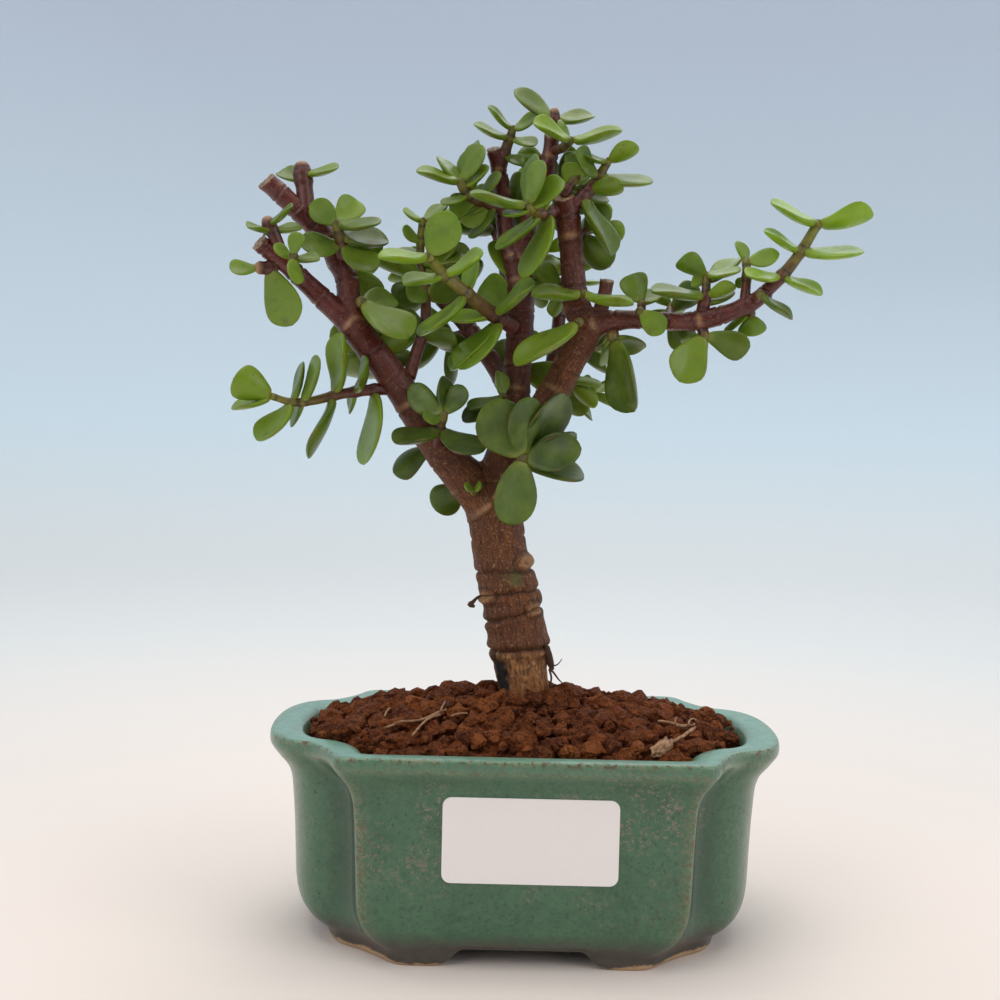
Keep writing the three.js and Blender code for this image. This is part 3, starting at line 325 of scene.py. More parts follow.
# The rings that the shell grows by, from the table up the outside and down the inside:
# [shares of the plan, height, share of an arch's height, kind of plan, thin glaze, pooled glaze].
POT_RINGS = [
    ((0.705, 0.805), 5.2, 0.1, 0, 0, 0), ((0.712, 0.81), 1.2, 0.8, 0, 0, 0),
    ((0.722, 0.818), 0.2, 1, 0, 0, 0), ((0.735, 0.828), 0, 1, 0, 0, 0),
    ((0.812, 0.9), 0, 1, -1, 0, 0), ((0.826, 0.911), 0.2, 1, -1, 0, 0),
    ((0.832, 0.915), 0.9, 0.9, -1, 0, 0), ((0.836, 0.918), 2, 0.74, -1, 0, 0),
    ((0.842, 0.921), 3.1, 0.56, -1, 0, 0), ((0.856, 0.927), 4.1, 0.4, -0.97, 0, 0),
    ((0.88, 0.938), 4.9, 0.3, -0.92, 0, 0), ((0.908, 0.953), 6, 0.18, -0.82, 0, 0),
    ((0.932, 0.968), 7.4, 0.07, -0.67, 0, 0), ((0.953, 0.982), 9.3, 0, -0.47, 0, 0),
    ((0.966, 0.991), 11.3, 0, -0.3, 0, 0), ((0.975, 0.997), 14, 0, -0.13, 0, 0),
    ((0.979, 1), 17, 0, -0.03, 0, 0), ((0.981, 1), 22, 0, 0, 0, 0), ((0.985, 1), 28, 0, 0, 0, 0),
    ((0.989, 1), 34, 0, 0, 0, 0), ((0.996, 1), 39.5, 0, 0, 0, 0), ((1, 1), 43, 0, 0, 0, 0),
    ((1.006, 1), 45, 0, 0.08, 0, 0), ((1.02, 1.001), 47.3, 0, 0.2, 0, 0),
    ((1.036, 1.008), 48.8, 0, 0.35, 0, 0), ((1.055, 1.028), 50.2, 0, 0.5, 0, 0),
    ((1.07, 1.05), 51.6, 0, 0.65, 0, 0), ((1.083, 1.072), 52.9, 0, 0.8, 0.1, 0.08),
    ((1.091, 1.088), 53.8, 0, 0.9, 0.45, 0.15), ((1.094, 1.093), 54.6, 0, 1, 0.25, 0.2),
    ((1.094, 1.093), 55.7, 0, 1, 0.15, 0.2), ((1.092, 1.091), 56.7, 0, 1, 0.65, 0.3),
    ((1.087, 1.085), 57.3, 0, 1, 0.8, 0.7), ((1.078, 1.073), 57.5, 0, 1, 0.25, 1),
    ((1.052, 1.046), 57.5, 0, 1, 0.05, 1), ((1.022, 1.017), 57.45, 0, 1, 0, 1),
    (shares(0.6), 57.4, 0, 1, 0, 1), (shares(2), 57.3, 0, 0.9, 0.1, 0.8),
    (shares(3.2), 56.6, 0, 0.7, 0.25, 0.6), (shares(4.2), 53.6, 0, 0.3, 0.2, 0.4),
    (shares(4.9), 48, 0, 0, 0, 0.2), (shares(5), 30, 0, 0, 0, 0), (shares(5.3), 20, 0, 0, 0, 0),
    (shares(7), 14.5, 0, 0, 0, 0), (shares(12), 11.6, 0, 0, 0, 0), (shares(16), 11.5, 0, 0, 0, 0),
]
RIDGE_PLACE, RIDGE_REACH = (44.5, 43.3), 3.2  # the ridge beside a panel, where the glaze runs thin
HOLLOW_PLACE, HOLLOW_REACH = (47.5, 33), 8  # the corner's hollow, where it lies dark


def pot_shell():
    bm = bmesh.new()
    thin, pool, hollow = (bm.verts.layers.float.new(layer) for layer in ("thin", "pool", "hollow"))
    step, ring = first_ring(bm, (0.70, 0.80), 6)
    for new, height, arched, kind, lean, pooled in POT_RINGS:
        spots, ring = grow_ring(bm, ring, step, new, height, kind)
        for spot in spots:
            flat = BODY_QUARTER[spot[step]]
            on_body = 1 - abs(kind)
            ridge = 0.75 * max(0, 1 - math.dist(flat, RIDGE_PLACE) / RIDGE_REACH) if height > FOOT_TOP else 0
            spot[thin], spot[pool] = max(lean, ridge * on_body), pooled
            spot[hollow] = max(0, 1 - math.dist(flat, HOLLOW_PLACE) / HOLLOW_REACH) * on_body
            spot.co.z += arched * ARCH_HEIGHT * arch_at(spot.co.x, spot.co.y)
    bmesh.ops.contextual_create(bm, geom=ring)
    return set_down(bm)


def glaze_finish():
    fixed = {"Coat Weight": 0.35, "Coat Roughness": 0.12, "Specular IOR Level": 0.5}
    finish, tree, shader = start_finish("green_glaze", fixed)
    where = places_of(tree)
    height = add(tree, "SeparateXYZ", {0: where}).outputs[2]
    green = tinted(tree, span(tree, mottle(tree, where, 70, 4), 0.35, 0.66),
                   (0.033, 0.108, 0.051), (0.046, 0.138, 0.067))
    green = tinted(tree, span(tree, mottle(tree, where, 420, 5, 0.7), 0.42, 0.72, 0, 0.8),
                   green, (0.066, 0.165, 0.088))
    teal = span(tree, mottle(tree, where, 1100, 4, 0.65), 0.55, 0.66, 0, 0.75)
    green = tinted(tree, teal, green, (0.016, 0.048, 0.041))
    green = tinted(tree, attribute(tree, "hollow"), green, (0.024, 0.066, 0.038))
    # Where the glaze lies thick, on the lip and inside, it turns to a pale turquoise.
    green = tinted(tree, attribute(tree, "pool"), green, tinted(
        tree, span(tree, mottle(tree, where, 300, 4), 0.35, 0.65), (0.13, 0.32, 0.22), (0.19, 0.41, 0.285)))
    # Small pink-grey crystals lie all over it and gather in clouds on the upper wall.
    cloud = span(tree, mottle(tree, where, 48, 3), 0.48, 0.62, 0.12, 1)
    crystal = span(tree, mottle(tree, where, 780, 5, 0.8), 0.53, 0.585, 0, 0.9)
    upper = span(tree, height, 0.014, 0.044, 0.3, 1)
    crystals = sums(tree, "MULTIPLY", sums(tree, "MULTIPLY", cloud, crystal), upper)
    green = tinted(tree, crystals, green, (0.27, 0.185, 0.155))
    # It breaks to tan and reddish brown where it runs thin.
    lean = attribute(tree, "thin")
    fleck = mottle(tree, where, 900, 4, 0.7)
    tan = sums(tree, "MULTIPLY", lean, span(tree, fleck, 0.4, 0.6, 0.05, 0.7))
    green = tinted(tree, tan, green, (0.3, 0.27, 0.15))
    rust = sums(tree, "MULTIPLY", lean, span(tree, mottle(tree, where, 560, 4, 0.7), 0.53, 0.58, 0, 1.2))
    green = tinted(tree, rust, green, (0.12, 0.062, 0.022))
    # Pin-head specks of iron lie all over it.
    cells = add(tree, "TexVoronoi", {"Vector": where, "Scale": 210}).outputs["Distance"]
    speck = sums(tree, "MULTIPLY", span(tree, cells, 0.05, 0.09, 1, 0),
                 span(tree, mottle(tree, where, 120), 0.5, 0.56))
    green = tinted(tree, speck, green, (0.02, 0.018, 0.014))
    # Charcoal on the feet, and bare clay under them.
    wavy = sums(tree, "ADD", sums(tree, "MULTIPLY", mottle(tree, where, 160), 0.004), height)
    charcoal = tinted(tree, mottle(tree, where, 500), (0.036, 0.029, 0.024), (0.085, 0.072, 0.056))
    green = tinted(tree, span(tree, wavy, 0.0072, 0.0125, 1, 0), green, charcoal)
    clay = tinted(tree, mottle(tree, where, 900), (0.4, 0.24, 0.12), (0.56, 0.38, 0.21))
    bare = span(tree, sums(tree, "ADD", wavy, -0.002), 0.0009, 0.0014, 1, 0)
    colour = tinted(tree, bare, green, clay)
    rough = sums(tree, "ADD", span(tree, fleck, 0.3, 0.7, 0.3, 0.42), sums(tree, "MULTIPLY", bare, 0.4))
    paint(tree, shader, colour, rough)
    raised(tree, shader, sums(tree, "ADD", mottle(tree, where, 260, 2), mottle(tree, where, 1500, 3)),
           0.00012, 0.6)
    return finish


def drill(piece, spots, radius):
    """Cuts round holes straight down through a piece, at places [x, y]."""
    bm = bmesh.new()
    for x, y in spots:
        bmesh.ops.create_cone(bm, cap_ends=True, segments=32, radius1=radius, radius2=radius, depth=0.06,
                              matrix=Matrix.Translation((x, y, 0)))
    bits = make_piece("drill_bits", bm)
    cut = piece.modifiers.new("holes", "BOOLEAN")
    cut.object = bits
    cut.solver = "EXACT"
    apply_modifiers(piece)
    bpy.data.objects.remove(bits)


def apply_modifiers(piece):
    """Turns a piece's modifiers into its mesh."""
    whole = piece.evaluated_get(bpy.context.evaluated_depsgraph_get())
    mesh = bpy.data.meshes.new_from_object(whole)
    piece.modifiers.clear()
    piece.data = mesh


def round_off(piece):
    """Smooths a closed piece once, then moves each point to where endless smoothing puts it."""
    smooth = piece.modifiers.new("smooth", "SUBSURF")
    smooth.levels = 1
    # The modifier's own limit surface takes half a minute over the floor's many-sided faces.
    smooth.use_limit_surface = False
    apply_modifiers(piece)
    bm = bmesh.new()
    bm.from_mesh(piece.data)
    places = []
    for spot in bm.verts:
        count = len(spot.link_edges)
        near = sum((edge.other_vert(spot).co for edge in spot.link_edges), Vector())
        far = sum((loop.link_loop_next.link_loop_next.vert.co for loop in spot.link_loops), Vector())
        places.append((spot.co * count * count + near * 4 + far) / (count * (count + 5)))
    for spot, place in zip(bm.verts, places):
        spot.co = place
    bm.to_mesh(piece.data)
    bm.free()


pot = make_piece("pot_body", pot_shell(), glaze_finish())
round_off(pot)
drill(pot, [((POT_SHIFT + side * DRAIN_X) * MM, 0) for side in (-1, 1)], DRAIN_RADIUS * MM)
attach(pot, "root")
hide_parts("pot")

# ---------------------------------------------------------------- label
# A white paper sticker with rounded corners on the front panel. It is blank.
LABEL = {"width": 46.5, "height": 22.8, "corner": 2, "thick": 0.35, "x": 1.5, "z": 35.5}


def label_sheet():
    bm = bmesh.new()
    bmesh.ops.create_grid(bm, x_segments=1, y_segments=1, size=0.5)
    bmesh.ops.scale(bm, vec=(LABEL["width"], LABEL["height"], 1), verts=bm.verts)
    bmesh.ops.bevel(bm, geom=bm.verts[:], affect="VERTICES", offset=LABEL["corner"] * 1.2, segments=8,
                    profile=0.5, material=-1)
    lifted = bmesh.ops.extrude_face_region(bm, geom=bm.faces[:])["geom"]
    spots = [part for part in lifted if isinstance(part, bmesh.types.BMVert)]
    bmesh.ops.translate(bm, vec=(0, 0, LABEL["thick"]), verts=spots)
    upright = Matrix.Rotation(math.pi / 2, 4, "X")
    stuck = Matrix.Translation((POT_SHIFT + LABEL["x"], -BODY_HALF[1] - 0.05, LABEL["z"]))
    bmesh.ops.transform(bm, matrix=Matrix.Scale(MM, 4) @ stuck @ upright, verts=bm.verts)
    bmesh.ops.recalc_face_normals(bm, faces=bm.faces)
    return bm


def sticker_finish():
    finish, tree, shader = start_finish("white_sticker", {"Roughness": 0.45, "Specular IOR Level": 0.4})
    where = places_of(tree)
    fibres = mottle(tree, where, 900, 5, 0.7)
    colour = tinted(tree, fibres, (0.91, 0.85, 0.84), (0.96, 0.9, 0.89))
    scuffs = span(tree, mottle(tree, where, 150, 6, 0.75), 0.62, 0.74, 0, 0.12)
    paint(tree, shader, tinted(tree, scuffs, colour, (0.6, 0.55, 0.52)))
    raised(tree, shader, fibres, 0.00004, 0.5)
    return finish


label = make_piece("blank_sticker", label_sheet(), sticker_finish())
label.data.shade_flat()
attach(label, "root")
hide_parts("blank_label")


# ---------------------------------------------------------------- drain nets
# Squares of black plastic netting over the drain holes, under the soil. Their solids stay.
def netting_finish():
    finish, tree, shader = start_finish("black_netting", {"Roughness": 0.55})
    where = places_of(tree)
    dust = span(tree, mottle(tree, where, 700, 4), 0.5, 0.75, 0, 0.5)
    paint(tree, shader, tinted(tree, dust, (0.02, 0.02, 0.021), (0.1, 0.06, 0.045)))
    raised(tree, shader, mottle(tree, where, 1800), 0.0001)
    return finish


netting = netting_finish()
for side in ("left", "right"):
    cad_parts["drain_net_" + side].material_slots[0].material = netting

# ---------------------------------------------------------------- soil
# Broken granules of fired clay, 2 to 11 mm across, dark red-brown with some orange-brown
# ones. They are heaped round the trunk and lie loose on a bed of the same.
SOIL_EDGE = 56
SOIL_CROWN = 65
SOIL_HALF = (62, 40)
TRUNK_ROOM = 7
LAYERS = [  # [spacing, smallest and largest radius, sink, faces: 1 few or 2 more]
    (7.4, 3.8, 5.2, -2.8, 2),
    (7.2, 2.6, 4.6, -0.5, 2),
    (7.6, 1.6, 3.8, 1.2, 2),
    (5.4, 0.6, 1.6, 1.6, 1),
]


def drawn_from(seed):
    """A function that gives seeded numbers between two bounds."""
    chance = np.random.RandomState(seed)
    return lambda low, high: float(chance.uniform(low, high))


def soil_height(x, y):
    out = min(1, (abs(x / SOIL_HALF[0]) ** 3 + abs(y / SOIL_HALF[1]) ** 3) ** (1 / 3))
    return SOIL_CROWN - (SOIL_CROWN - SOIL_EDGE) * out * out


FLATS = 6  # knocked off each granule
FOOT_RING = {"turn": 0.5, "reach": (10.2, 12), "lift": (0.4, 2), "radius": (2.4, 4.2)}  # round the trunk


def granule(bm, tone, draw, x, y, z, radius, faces):
    """One broken lump: a ball with flats knocked off it, rough between them."""
    spots = bmesh.ops.create_icosphere(bm, subdivisions=faces, radius=1)["verts"]
    flats = []
    for _ in range(FLATS):
        out = Vector((draw(-1, 1), draw(-1, 1), draw(-1, 1))).normalized()
        flats.append((out, draw(0.5, 0.85)))
    stretch = Vector((draw(0.9, 1.35), draw(0.75, 1.1), draw(0.7, 1)))
    dice = Vector((draw(0, 50), draw(0, 50), draw(0, 50)))
    shade = draw(0, 1)
    for spot in spots:
        for out, reach in flats:
            past = spot.co.dot(out) - reach
            if past > 0:
                spot.co -= out * past
        spot.co *= 1.12 + 0.5 * noise.noise(spot.co * 2.4 + dice)
        spot.co *= stretch
        spot[tone] = shade
    turn = Matrix.Rotation(draw(0, math.tau), 4, "Z") @ Matrix.Rotation(draw(-0.6, 0.6), 4, "X")
    place = Matrix.Translation((x, y, z)) @ turn @ Matrix.Scale(radius, 4)
    bmesh.ops.transform(bm, matrix=place, verts=spots)


def soil_bed(bm):
    """The bed under the granules: it fills the pot and swells up to the trunk."""
    rows = [(shares(5.6), 19), (shares(5.6), 48), (shares(7), 51.5)]
    rows += [((share, share), soil_height(share * SOIL_HALF[0], 0) - 3.6) for share in (0.8, 0.6, 0.4, 0.2)]
    step, ring = first_ring(bm, shares(13), 12)
    for new, height in rows:
        _, ring = grow_ring(bm, ring, step, new, height)
    bmesh.ops.contextual_create(bm, geom=ring)


WALL = np.array(LIP_QUARTER).T * np.array(shares(4))[:, None]


def wall_room(x, y):
    """How far a point of the plan lies inside the pot's wall; less than 0 beyond it."""
    gap = np.hypot(WALL[0] - abs(x), WALL[1] - abs(y)).min()
    return gap if abs(y) < np.interp(abs(x), *WALL) else -gap


def pour(part, bm):
    """Moves everything in one bmesh into another."""
    mesh = bpy.data.meshes.new("part")
    part.to_mesh(mesh)
    part.free()
    bm.from_mesh(mesh)
    bpy.data.meshes.remove(mesh)


def soil_heap():
    bm = bmesh.new()
    bm.verts.layers.float.new("tone")
    soil_bed(bm)
    draw = drawn_from(21)
    for spacing, small, large, sink, faces in LAYERS:
        step = spacing * math.sin(math.pi / 3)
        for row in range(int(2 * SOIL_HALF[1] / step) + 3):
            lumps = bmesh.new()
            tone = lumps.verts.layers.float.new("tone")
            for column in range(int(2 * SOIL_HALF[0] / spacing) + 3):
                x = -SOIL_HALF[0] - 2 + (column + row % 2 / 2) * spacing + draw(-0.3, 0.3) * spacing
                y = -SOIL_HALF[1] - 2 + row * step + draw(-0.3, 0.3) * spacing
                radius = small + (large - small) * draw(0, 1) ** 1.6
                lift = draw(-0.7, 0.7)
                if math.hypot(x, y) < TRUNK_ROOM or wall_room(x, y) < 0.9 * radius:
                    continue
                granule(lumps, tone, draw, x, y, soil_height(x, y) + sink + lift - 1.2, radius, faces)
            pour(lumps, bm)
    lumps = bmesh.new()
    tone = lumps.verts.layers.float.new("tone")
    for turn in np.arange(0, math.tau, FOOT_RING["turn"]):
        reach = draw(*FOOT_RING["reach"])
        x, y = reach * math.cos(turn), reach * math.sin(turn)
        z = SOIL_CROWN + draw(*FOOT_RING["lift"])
        granule(lumps, tone, draw, x, y, z, draw(*FOOT_RING["radius"]), 2)
    pour(lumps, bm)
    return set_down(bm)


def granule_finish():
    finish, tree, shader = start_finish("fired_clay", {"Roughness": 0.92, "Specular IOR Level": 0.25})
    where = places_of(tree)
    tone = attribute(tree, "tone")
    colour = tinted(tree, span(tree, tone, 0.05, 0.8), (0.085, 0.019, 0.0055), (0.2, 0.05, 0.0125))
    colour = tinted(tree, span(tree, tone, 0.8, 1.0), colour, (0.33, 0.095, 0.021))
    dusty = span(tree, mottle(tree, where, 600, 5, 0.75), 0.44, 0.68, 0, 0.8)
    colour = tinted(tree, dusty, colour, (0.35, 0.107, 0.029))
    # Painted shade: tiny pits are darkened almost black, for the shade inside the pores.
    pit_shade = span(tree, mottle(tree, where, 1300, 4, 0.7), 0.36, 0.47, 0.95, 0)
    paint(tree, shader, tinted(tree, pit_shade, colour, (0.014, 0.004, 0.002)))
    lumpy = add(tree, "TexVoronoi", {"Vector": where, "Scale": 900}).outputs["Distance"]
    rough = sums(tree, "ADD", mottle(tree, where, 750, 6, 0.75), sums(tree, "MULTIPLY", lumpy, 0.7))
    raised(tree, shader, rough, 0.0011, 1.0)
    return finish


granules = granule_finish()
soil = make_piece("soil_granules", soil_heap(), granules)
soil.data.shade_flat()
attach(soil, "root")
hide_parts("soil")

# ---------------------------------------------------------------- trunk and limbs
# The living wood, grown as one piece. The trunk is ringed by the scars of old leaf pairs,
# over a foot of bare tan wood; the limbs turn from brown bark to smooth purple skin, and
# each pruned end is a dry tan cut. Points are [x, y, z, radius] along the middle of each.
LIMBS = {
    "trunk": [(0, 0, 44, 8.4), (0, 0, 61, 8), (-0.5, 0, 67.5, 7.8), (-1.5, 0, 74, 8.2),
              (-2, 0, 79.5, 8.6), (-3.5, 0, 88, 8.5), (-5, 0, 96, 8.3), (-7, 0, 102.5, 8.1),
              (-8.5, 0, 108.5, 7.8), (-9.5, 0, 116, 7.9), (-11, 0, 123, 8.4), (-12, 0, 127.5, 7.4)],
    "left_limb": [(-11.5, 0, 121, 7), (-17.5, -1, 128, 6.2), (-24, -3, 134.5, 5.3),
                  (-32, -5, 145.5, 4.7), (-38.5, -7, 155.5, 4.4), (-46, -8, 165, 4.3),
                  (-52, -9, 172.5, 4.1)],
    "middle": [(-11, 0, 123, 7.6), (-8.5, 0, 129.5, 7), (-6.5, 0, 136, 6.4), (-5.5, 2, 145, 5),
               (-4.5, 4, 158, 4.1), (-4, 5, 173, 4), (-4, 6, 184, 3.9), (-5.5, 7, 193.5, 3.8)],
    "right_limb": [(-8, 0, 129, 6.6), (-4, -1, 137, 5.6), (1.5, -3, 146.5, 4.9),
                   (6.5, -5, 155, 4.4), (11, -7, 164, 4.3), (15.5, -8, 172.5, 4.4)],
    "left_tip": [(-51.5, -9, 172, 3.7), (-55, -10, 174.5, 3.2), (-61, -11, 180, 2.9),
                 (-66.5, -12, 185, 2.7), (-72, -13, 189.5, 2.5), (-78, -14, 194, 2.4)],
    "left_leader": [(-50.5, -9, 171.5, 3.7), (-52.5, -8, 177.5, 3.4), (-53.5, -6, 184.5, 3.3),
                    (-57, -4, 191, 3.1), (-60.5, -3, 197.5, 3), (-64, -3, 200.5, 3),
                    (-70.5, -3, 206.5, 2.9), (-78, -3, 213, 2.8)],
    "back_left": [(-5, 5, 152, 3.2), (-10.5, 13, 161, 2.8), (-16.5, 17, 170, 2.7),
                  (-22.5, 21, 177, 2.4), (-28.5, 26, 182.5, 2)],
    "leader_left": [(-6, 7, 192.5, 3.2), (-8.5, 8, 200.5, 2.8), (-9.5, 9, 209, 2.5),
                    (-11, 9, 218, 2.3), (-13, 9, 226, 2.2)],
    "leader_right": [(-4, 7, 192.5, 3.2), (-2.5, 5, 201.5, 2.8), (0.5, 3, 210, 2.5),
                     (3, 2, 218.5, 2.4), (4, 2, 229, 2.1)],
    "right_riser": [(15.5, -8, 172, 4.2), (12, -8, 178, 3.9), (11, -8, 183, 3.6),
                    (10, -9, 193, 3.4), (8.5, -10, 203.5, 3.5), (7, -10, 209.5, 2.8)],
    "right_stub": [(17.5, -7, 173, 2.1), (19.5, -6, 181, 2), (20.5, -5, 187, 2)],
    "right_branch": [(15.5, -8, 173, 3.8), (22, -9, 174.5, 3), (29.5, -10, 175, 2.6),
                     (40.5, -12, 174.5, 2.5), (46.5, -13, 175, 2.9), (53.5, -14, 177, 2.5),
                     (60, -15, 180, 2.4), (64.5, -16, 183.5, 2.1)],
    "back_right": [(-3, 3, 140.5, 3.6), (1.5, 14, 148, 3), (5, 22, 157, 2.6), (7.5, 28, 168, 2.3),
                   (8.5, 32, 179.5, 2)],
    "back_middle": [(-4, 6, 172.5, 2.8), (-5.5, 16, 182, 2.4), (-8.5, 23, 192, 2.1),
                    (-11, 28, 201.5, 1.8)],
}
# How young the skin is at each limb's root and at its end: 0 is old bark, 1 purple skin.
SKIN_YOUTH = {
    "trunk": (0, 0.15), "left_limb": (0.2, 0.85), "middle": (0.3, 0.8), "right_limb": (0.1, 0.4),
    "left_tip": (0.75, 0.95), "left_leader": (0.6, 0.95), "leader_left": (0.75, 0.95),
    "leader_right": (0.65, 0.9), "right_riser": (0.5, 0.75), "right_stub": (0.5, 0.6),
    "right_branch": (0.6, 0.95),
}
USUAL_SKIN = (0.5, 0.85)
CUT_LIMBS = ("left_tip", "left_leader", "leader_left", "leader_right", "right_riser", "right_stub")
# The trunk's ring scars: [height at the left, height at the right, depth].
TRUNK_RINGS = [(111.5, 113, 0.3), (101.8, 103.3, 0.7), (95.3, 97.3, 0.9), (87, 92, 1), (79, 80.4, 1.1)]
# Healed knots on the trunk's front: [x, height, radius].
KNOTS = [(-1.2 + POT_SHIFT, 105.2, 2.4), (1.5 + POT_SHIFT, 91.8, 2), (-11.6 + POT_SHIFT, 95, 2.1),
         (-7.7 + POT_SHIFT, 118.5, 1.4)]
WOOD_GRAIN = 0.5  # size of the mesh's cells
GRAIN_SQUEEZE = 0.22  # draws the grain's streaks out along the limb
CUT_SLANT = (0, -0.55, 0.15)  # tips each pruned end towards the front
TRUNK_MIDDLE, TRUNK_HALF, TRUNK_TOP = -8.8, 8, 118
OLD_WOOD_TOP = 79.3
DARK_PATCH = Vector((-11.6, -3.5, 71.5))  # a hollow low on the trunk's left, pressed in and coloured almost black
MOSSY_PLACE = Vector((-3.8 + POT_SHIFT, -7.8, 101)) * MM


def smooth_route(points, step):
    """[x, y, z, radius] rows closely spaced on a smooth curve through the points."""
    rows = np.array(points, float)
    padded = np.vstack([2 * rows[0] - rows[1], rows, 2 * rows[-1] - rows[-2]])
    route = []
    for i in range(1, len(rows)):
        a, b, c, d = padded[i - 1:i + 3]
        count = max(2, int(np.linalg.norm(c[:3] - b[:3]) / step))
        for t in np.arange(count) / count:
            route.append(0.5 * (2 * b + (c - a) * t + (2 * a - 5 * b + 4 * c - d) * t * t
                                + (3 * b - a - 3 * c + d) * t ** 3))
    route.append(rows[-1])
    return np.array(route)


def tubes(name, routes, sides):
    """Round tubes with closed ends along routes, as a mesh."""
    curve = bpy.data.curves.new(name, "CURVE")
    curve.dimensions = "3D"
    curve.bevel_depth = 1
    curve.bevel_resolution = sides
    curve.use_fill_caps = True
    for route in routes:
        spline = curve.splines.new("POLY")
        spline.points.add(len(route) - 1)
        for point, (x, y, z, radius) in zip(spline.points, route):
            point.co = ((x + POT_SHIFT) * MM, y * MM, z * MM, 1)
            point.radius = radius * MM
    piece = bpy.data.objects.new(name, curve)
    scene.collection.objects.link(piece)
    mesh = bpy.data.meshes.new_from_object(piece.evaluated_get(bpy.context.evaluated_depsgraph_get()))
    bpy.data.objects.remove(piece)
    return mesh


def fused(name, mesh, cell, smooths):
    """One skin round everything in a mesh."""
    piece = bpy.data.objects.new(name, mesh)
    scene.collection.objects.link(piece)
    skin = piece.modifiers.new("skin", "REMESH")
    skin.mode = "VOXEL"
    skin.voxel_size = cell
    soften = piece.modifiers.new("soften", "SMOOTH")
    soften.iterations = smooths
    apply_modifiers(piece)
    return piece


def frame_along(rows):
    """Unit directions along, across and out at each point of a route."""
    along = np.gradient(rows[:, :3], axis=0)
    along /= np.linalg.norm(along, axis=1)[:, None]
    across = np.cross(along, (0.1, 1, 0.05))
    across /= np.linalg.norm(across, axis=1)[:, None]
    return along, across, np.cross(along, across)


def run_along(rows):
    """How far along its route each point lies."""
    return np.concatenate([[0], np.cumsum(np.linalg.norm(np.diff(rows[:, :3], axis=0), axis=1))])


def unit(v):
    return v / np.linalg.norm(v)


def swell(gap, width):
    """A round swelling: 1 where the gap is nothing, and near 0 past twice the width."""
    return math.exp(-(gap / width) ** 2)


def trunk_relief(place):
    """The trunk's ring scars and knots at a place: how far out it stands, the painted shade in its crease,
    and its scar.
    """
    push = crease = scar = 0
    lean = (place.x - TRUNK_MIDDLE) / (2 * TRUNK_HALF) + 0.5
    for left, right_end, depth in TRUNK_RINGS:
        gap = place.z - (left + (right_end - left) * lean + 0.5 * noise.noise(place * 0.3))
        push += depth * (0.45 * swell(abs(gap) - 1.7, 1.3) - swell(gap, 0.42))
        crease = max(crease, min(0.8, depth) * swell(gap, 0.36))
    for x, high, size in KNOTS:
        if place.y < 0:
            far = math.hypot(place.x - x, place.z - high) / size
            push += 1.3 * swell(far - 0.6, 0.4) - 0.5 * swell(far, 0.35)
            scar = max(scar, math.exp(-(far / 0.8) ** 4))
            crease = max(crease, 0.7 * swell(far - 1.35, 0.18))
    return push, crease, scar


def limb_relief(name, place, here, angle):
    """The same for the faint rings and scars that fallen leaf pairs leave on a limb."""
    pace = 8.5 + 2 * math.sin(len(name))
    beat = ((here + 1.2 * noise.noise(place * 0.11)) / pace) % 1
    gap = min(beat, 1 - beat) * pace
    push = (0.26 - 0.45 * swell(gap, 0.4)) * swell(gap, 1.7)
    crease = (0.45 + 0.35 * noise.noise(place * 0.2)) * swell(gap, 0.34)
    facing = math.sin(angle + 1.57 * int(here / pace + 0.5))
    return push, crease, 0.8 * max(0, facing) ** 4 * swell(here % pace - 1.3, 0.8)


def limb_facts():
    """The limbs' names, and a row of facts for each point along them."""
    names, facts = [], []
    for name, points in LIMBS.items():
        rows = smooth_route(points, 1.0)
        along, across, out = frame_along(rows)
        run = run_along(rows)
        middle = rows[:, :3] + (POT_SHIFT, 0, 0)
        end = np.tile(middle[-1], (len(rows), 1))
        slant = along + CUT_SLANT
        slant /= np.linalg.norm(slant, axis=1)[:, None]
        low, high = SKIN_YOUTH.get(name, USUAL_SKIN)
        youth = low + (high - low) * run / run[-1]
        names += [name] * len(rows)
        facts.append(np.column_stack([middle, along, across, out, end, slant, run, rows[:, 3], youth]))
    return names, np.vstack(facts)


def dot(a, b):
    return (a * b).sum(1)


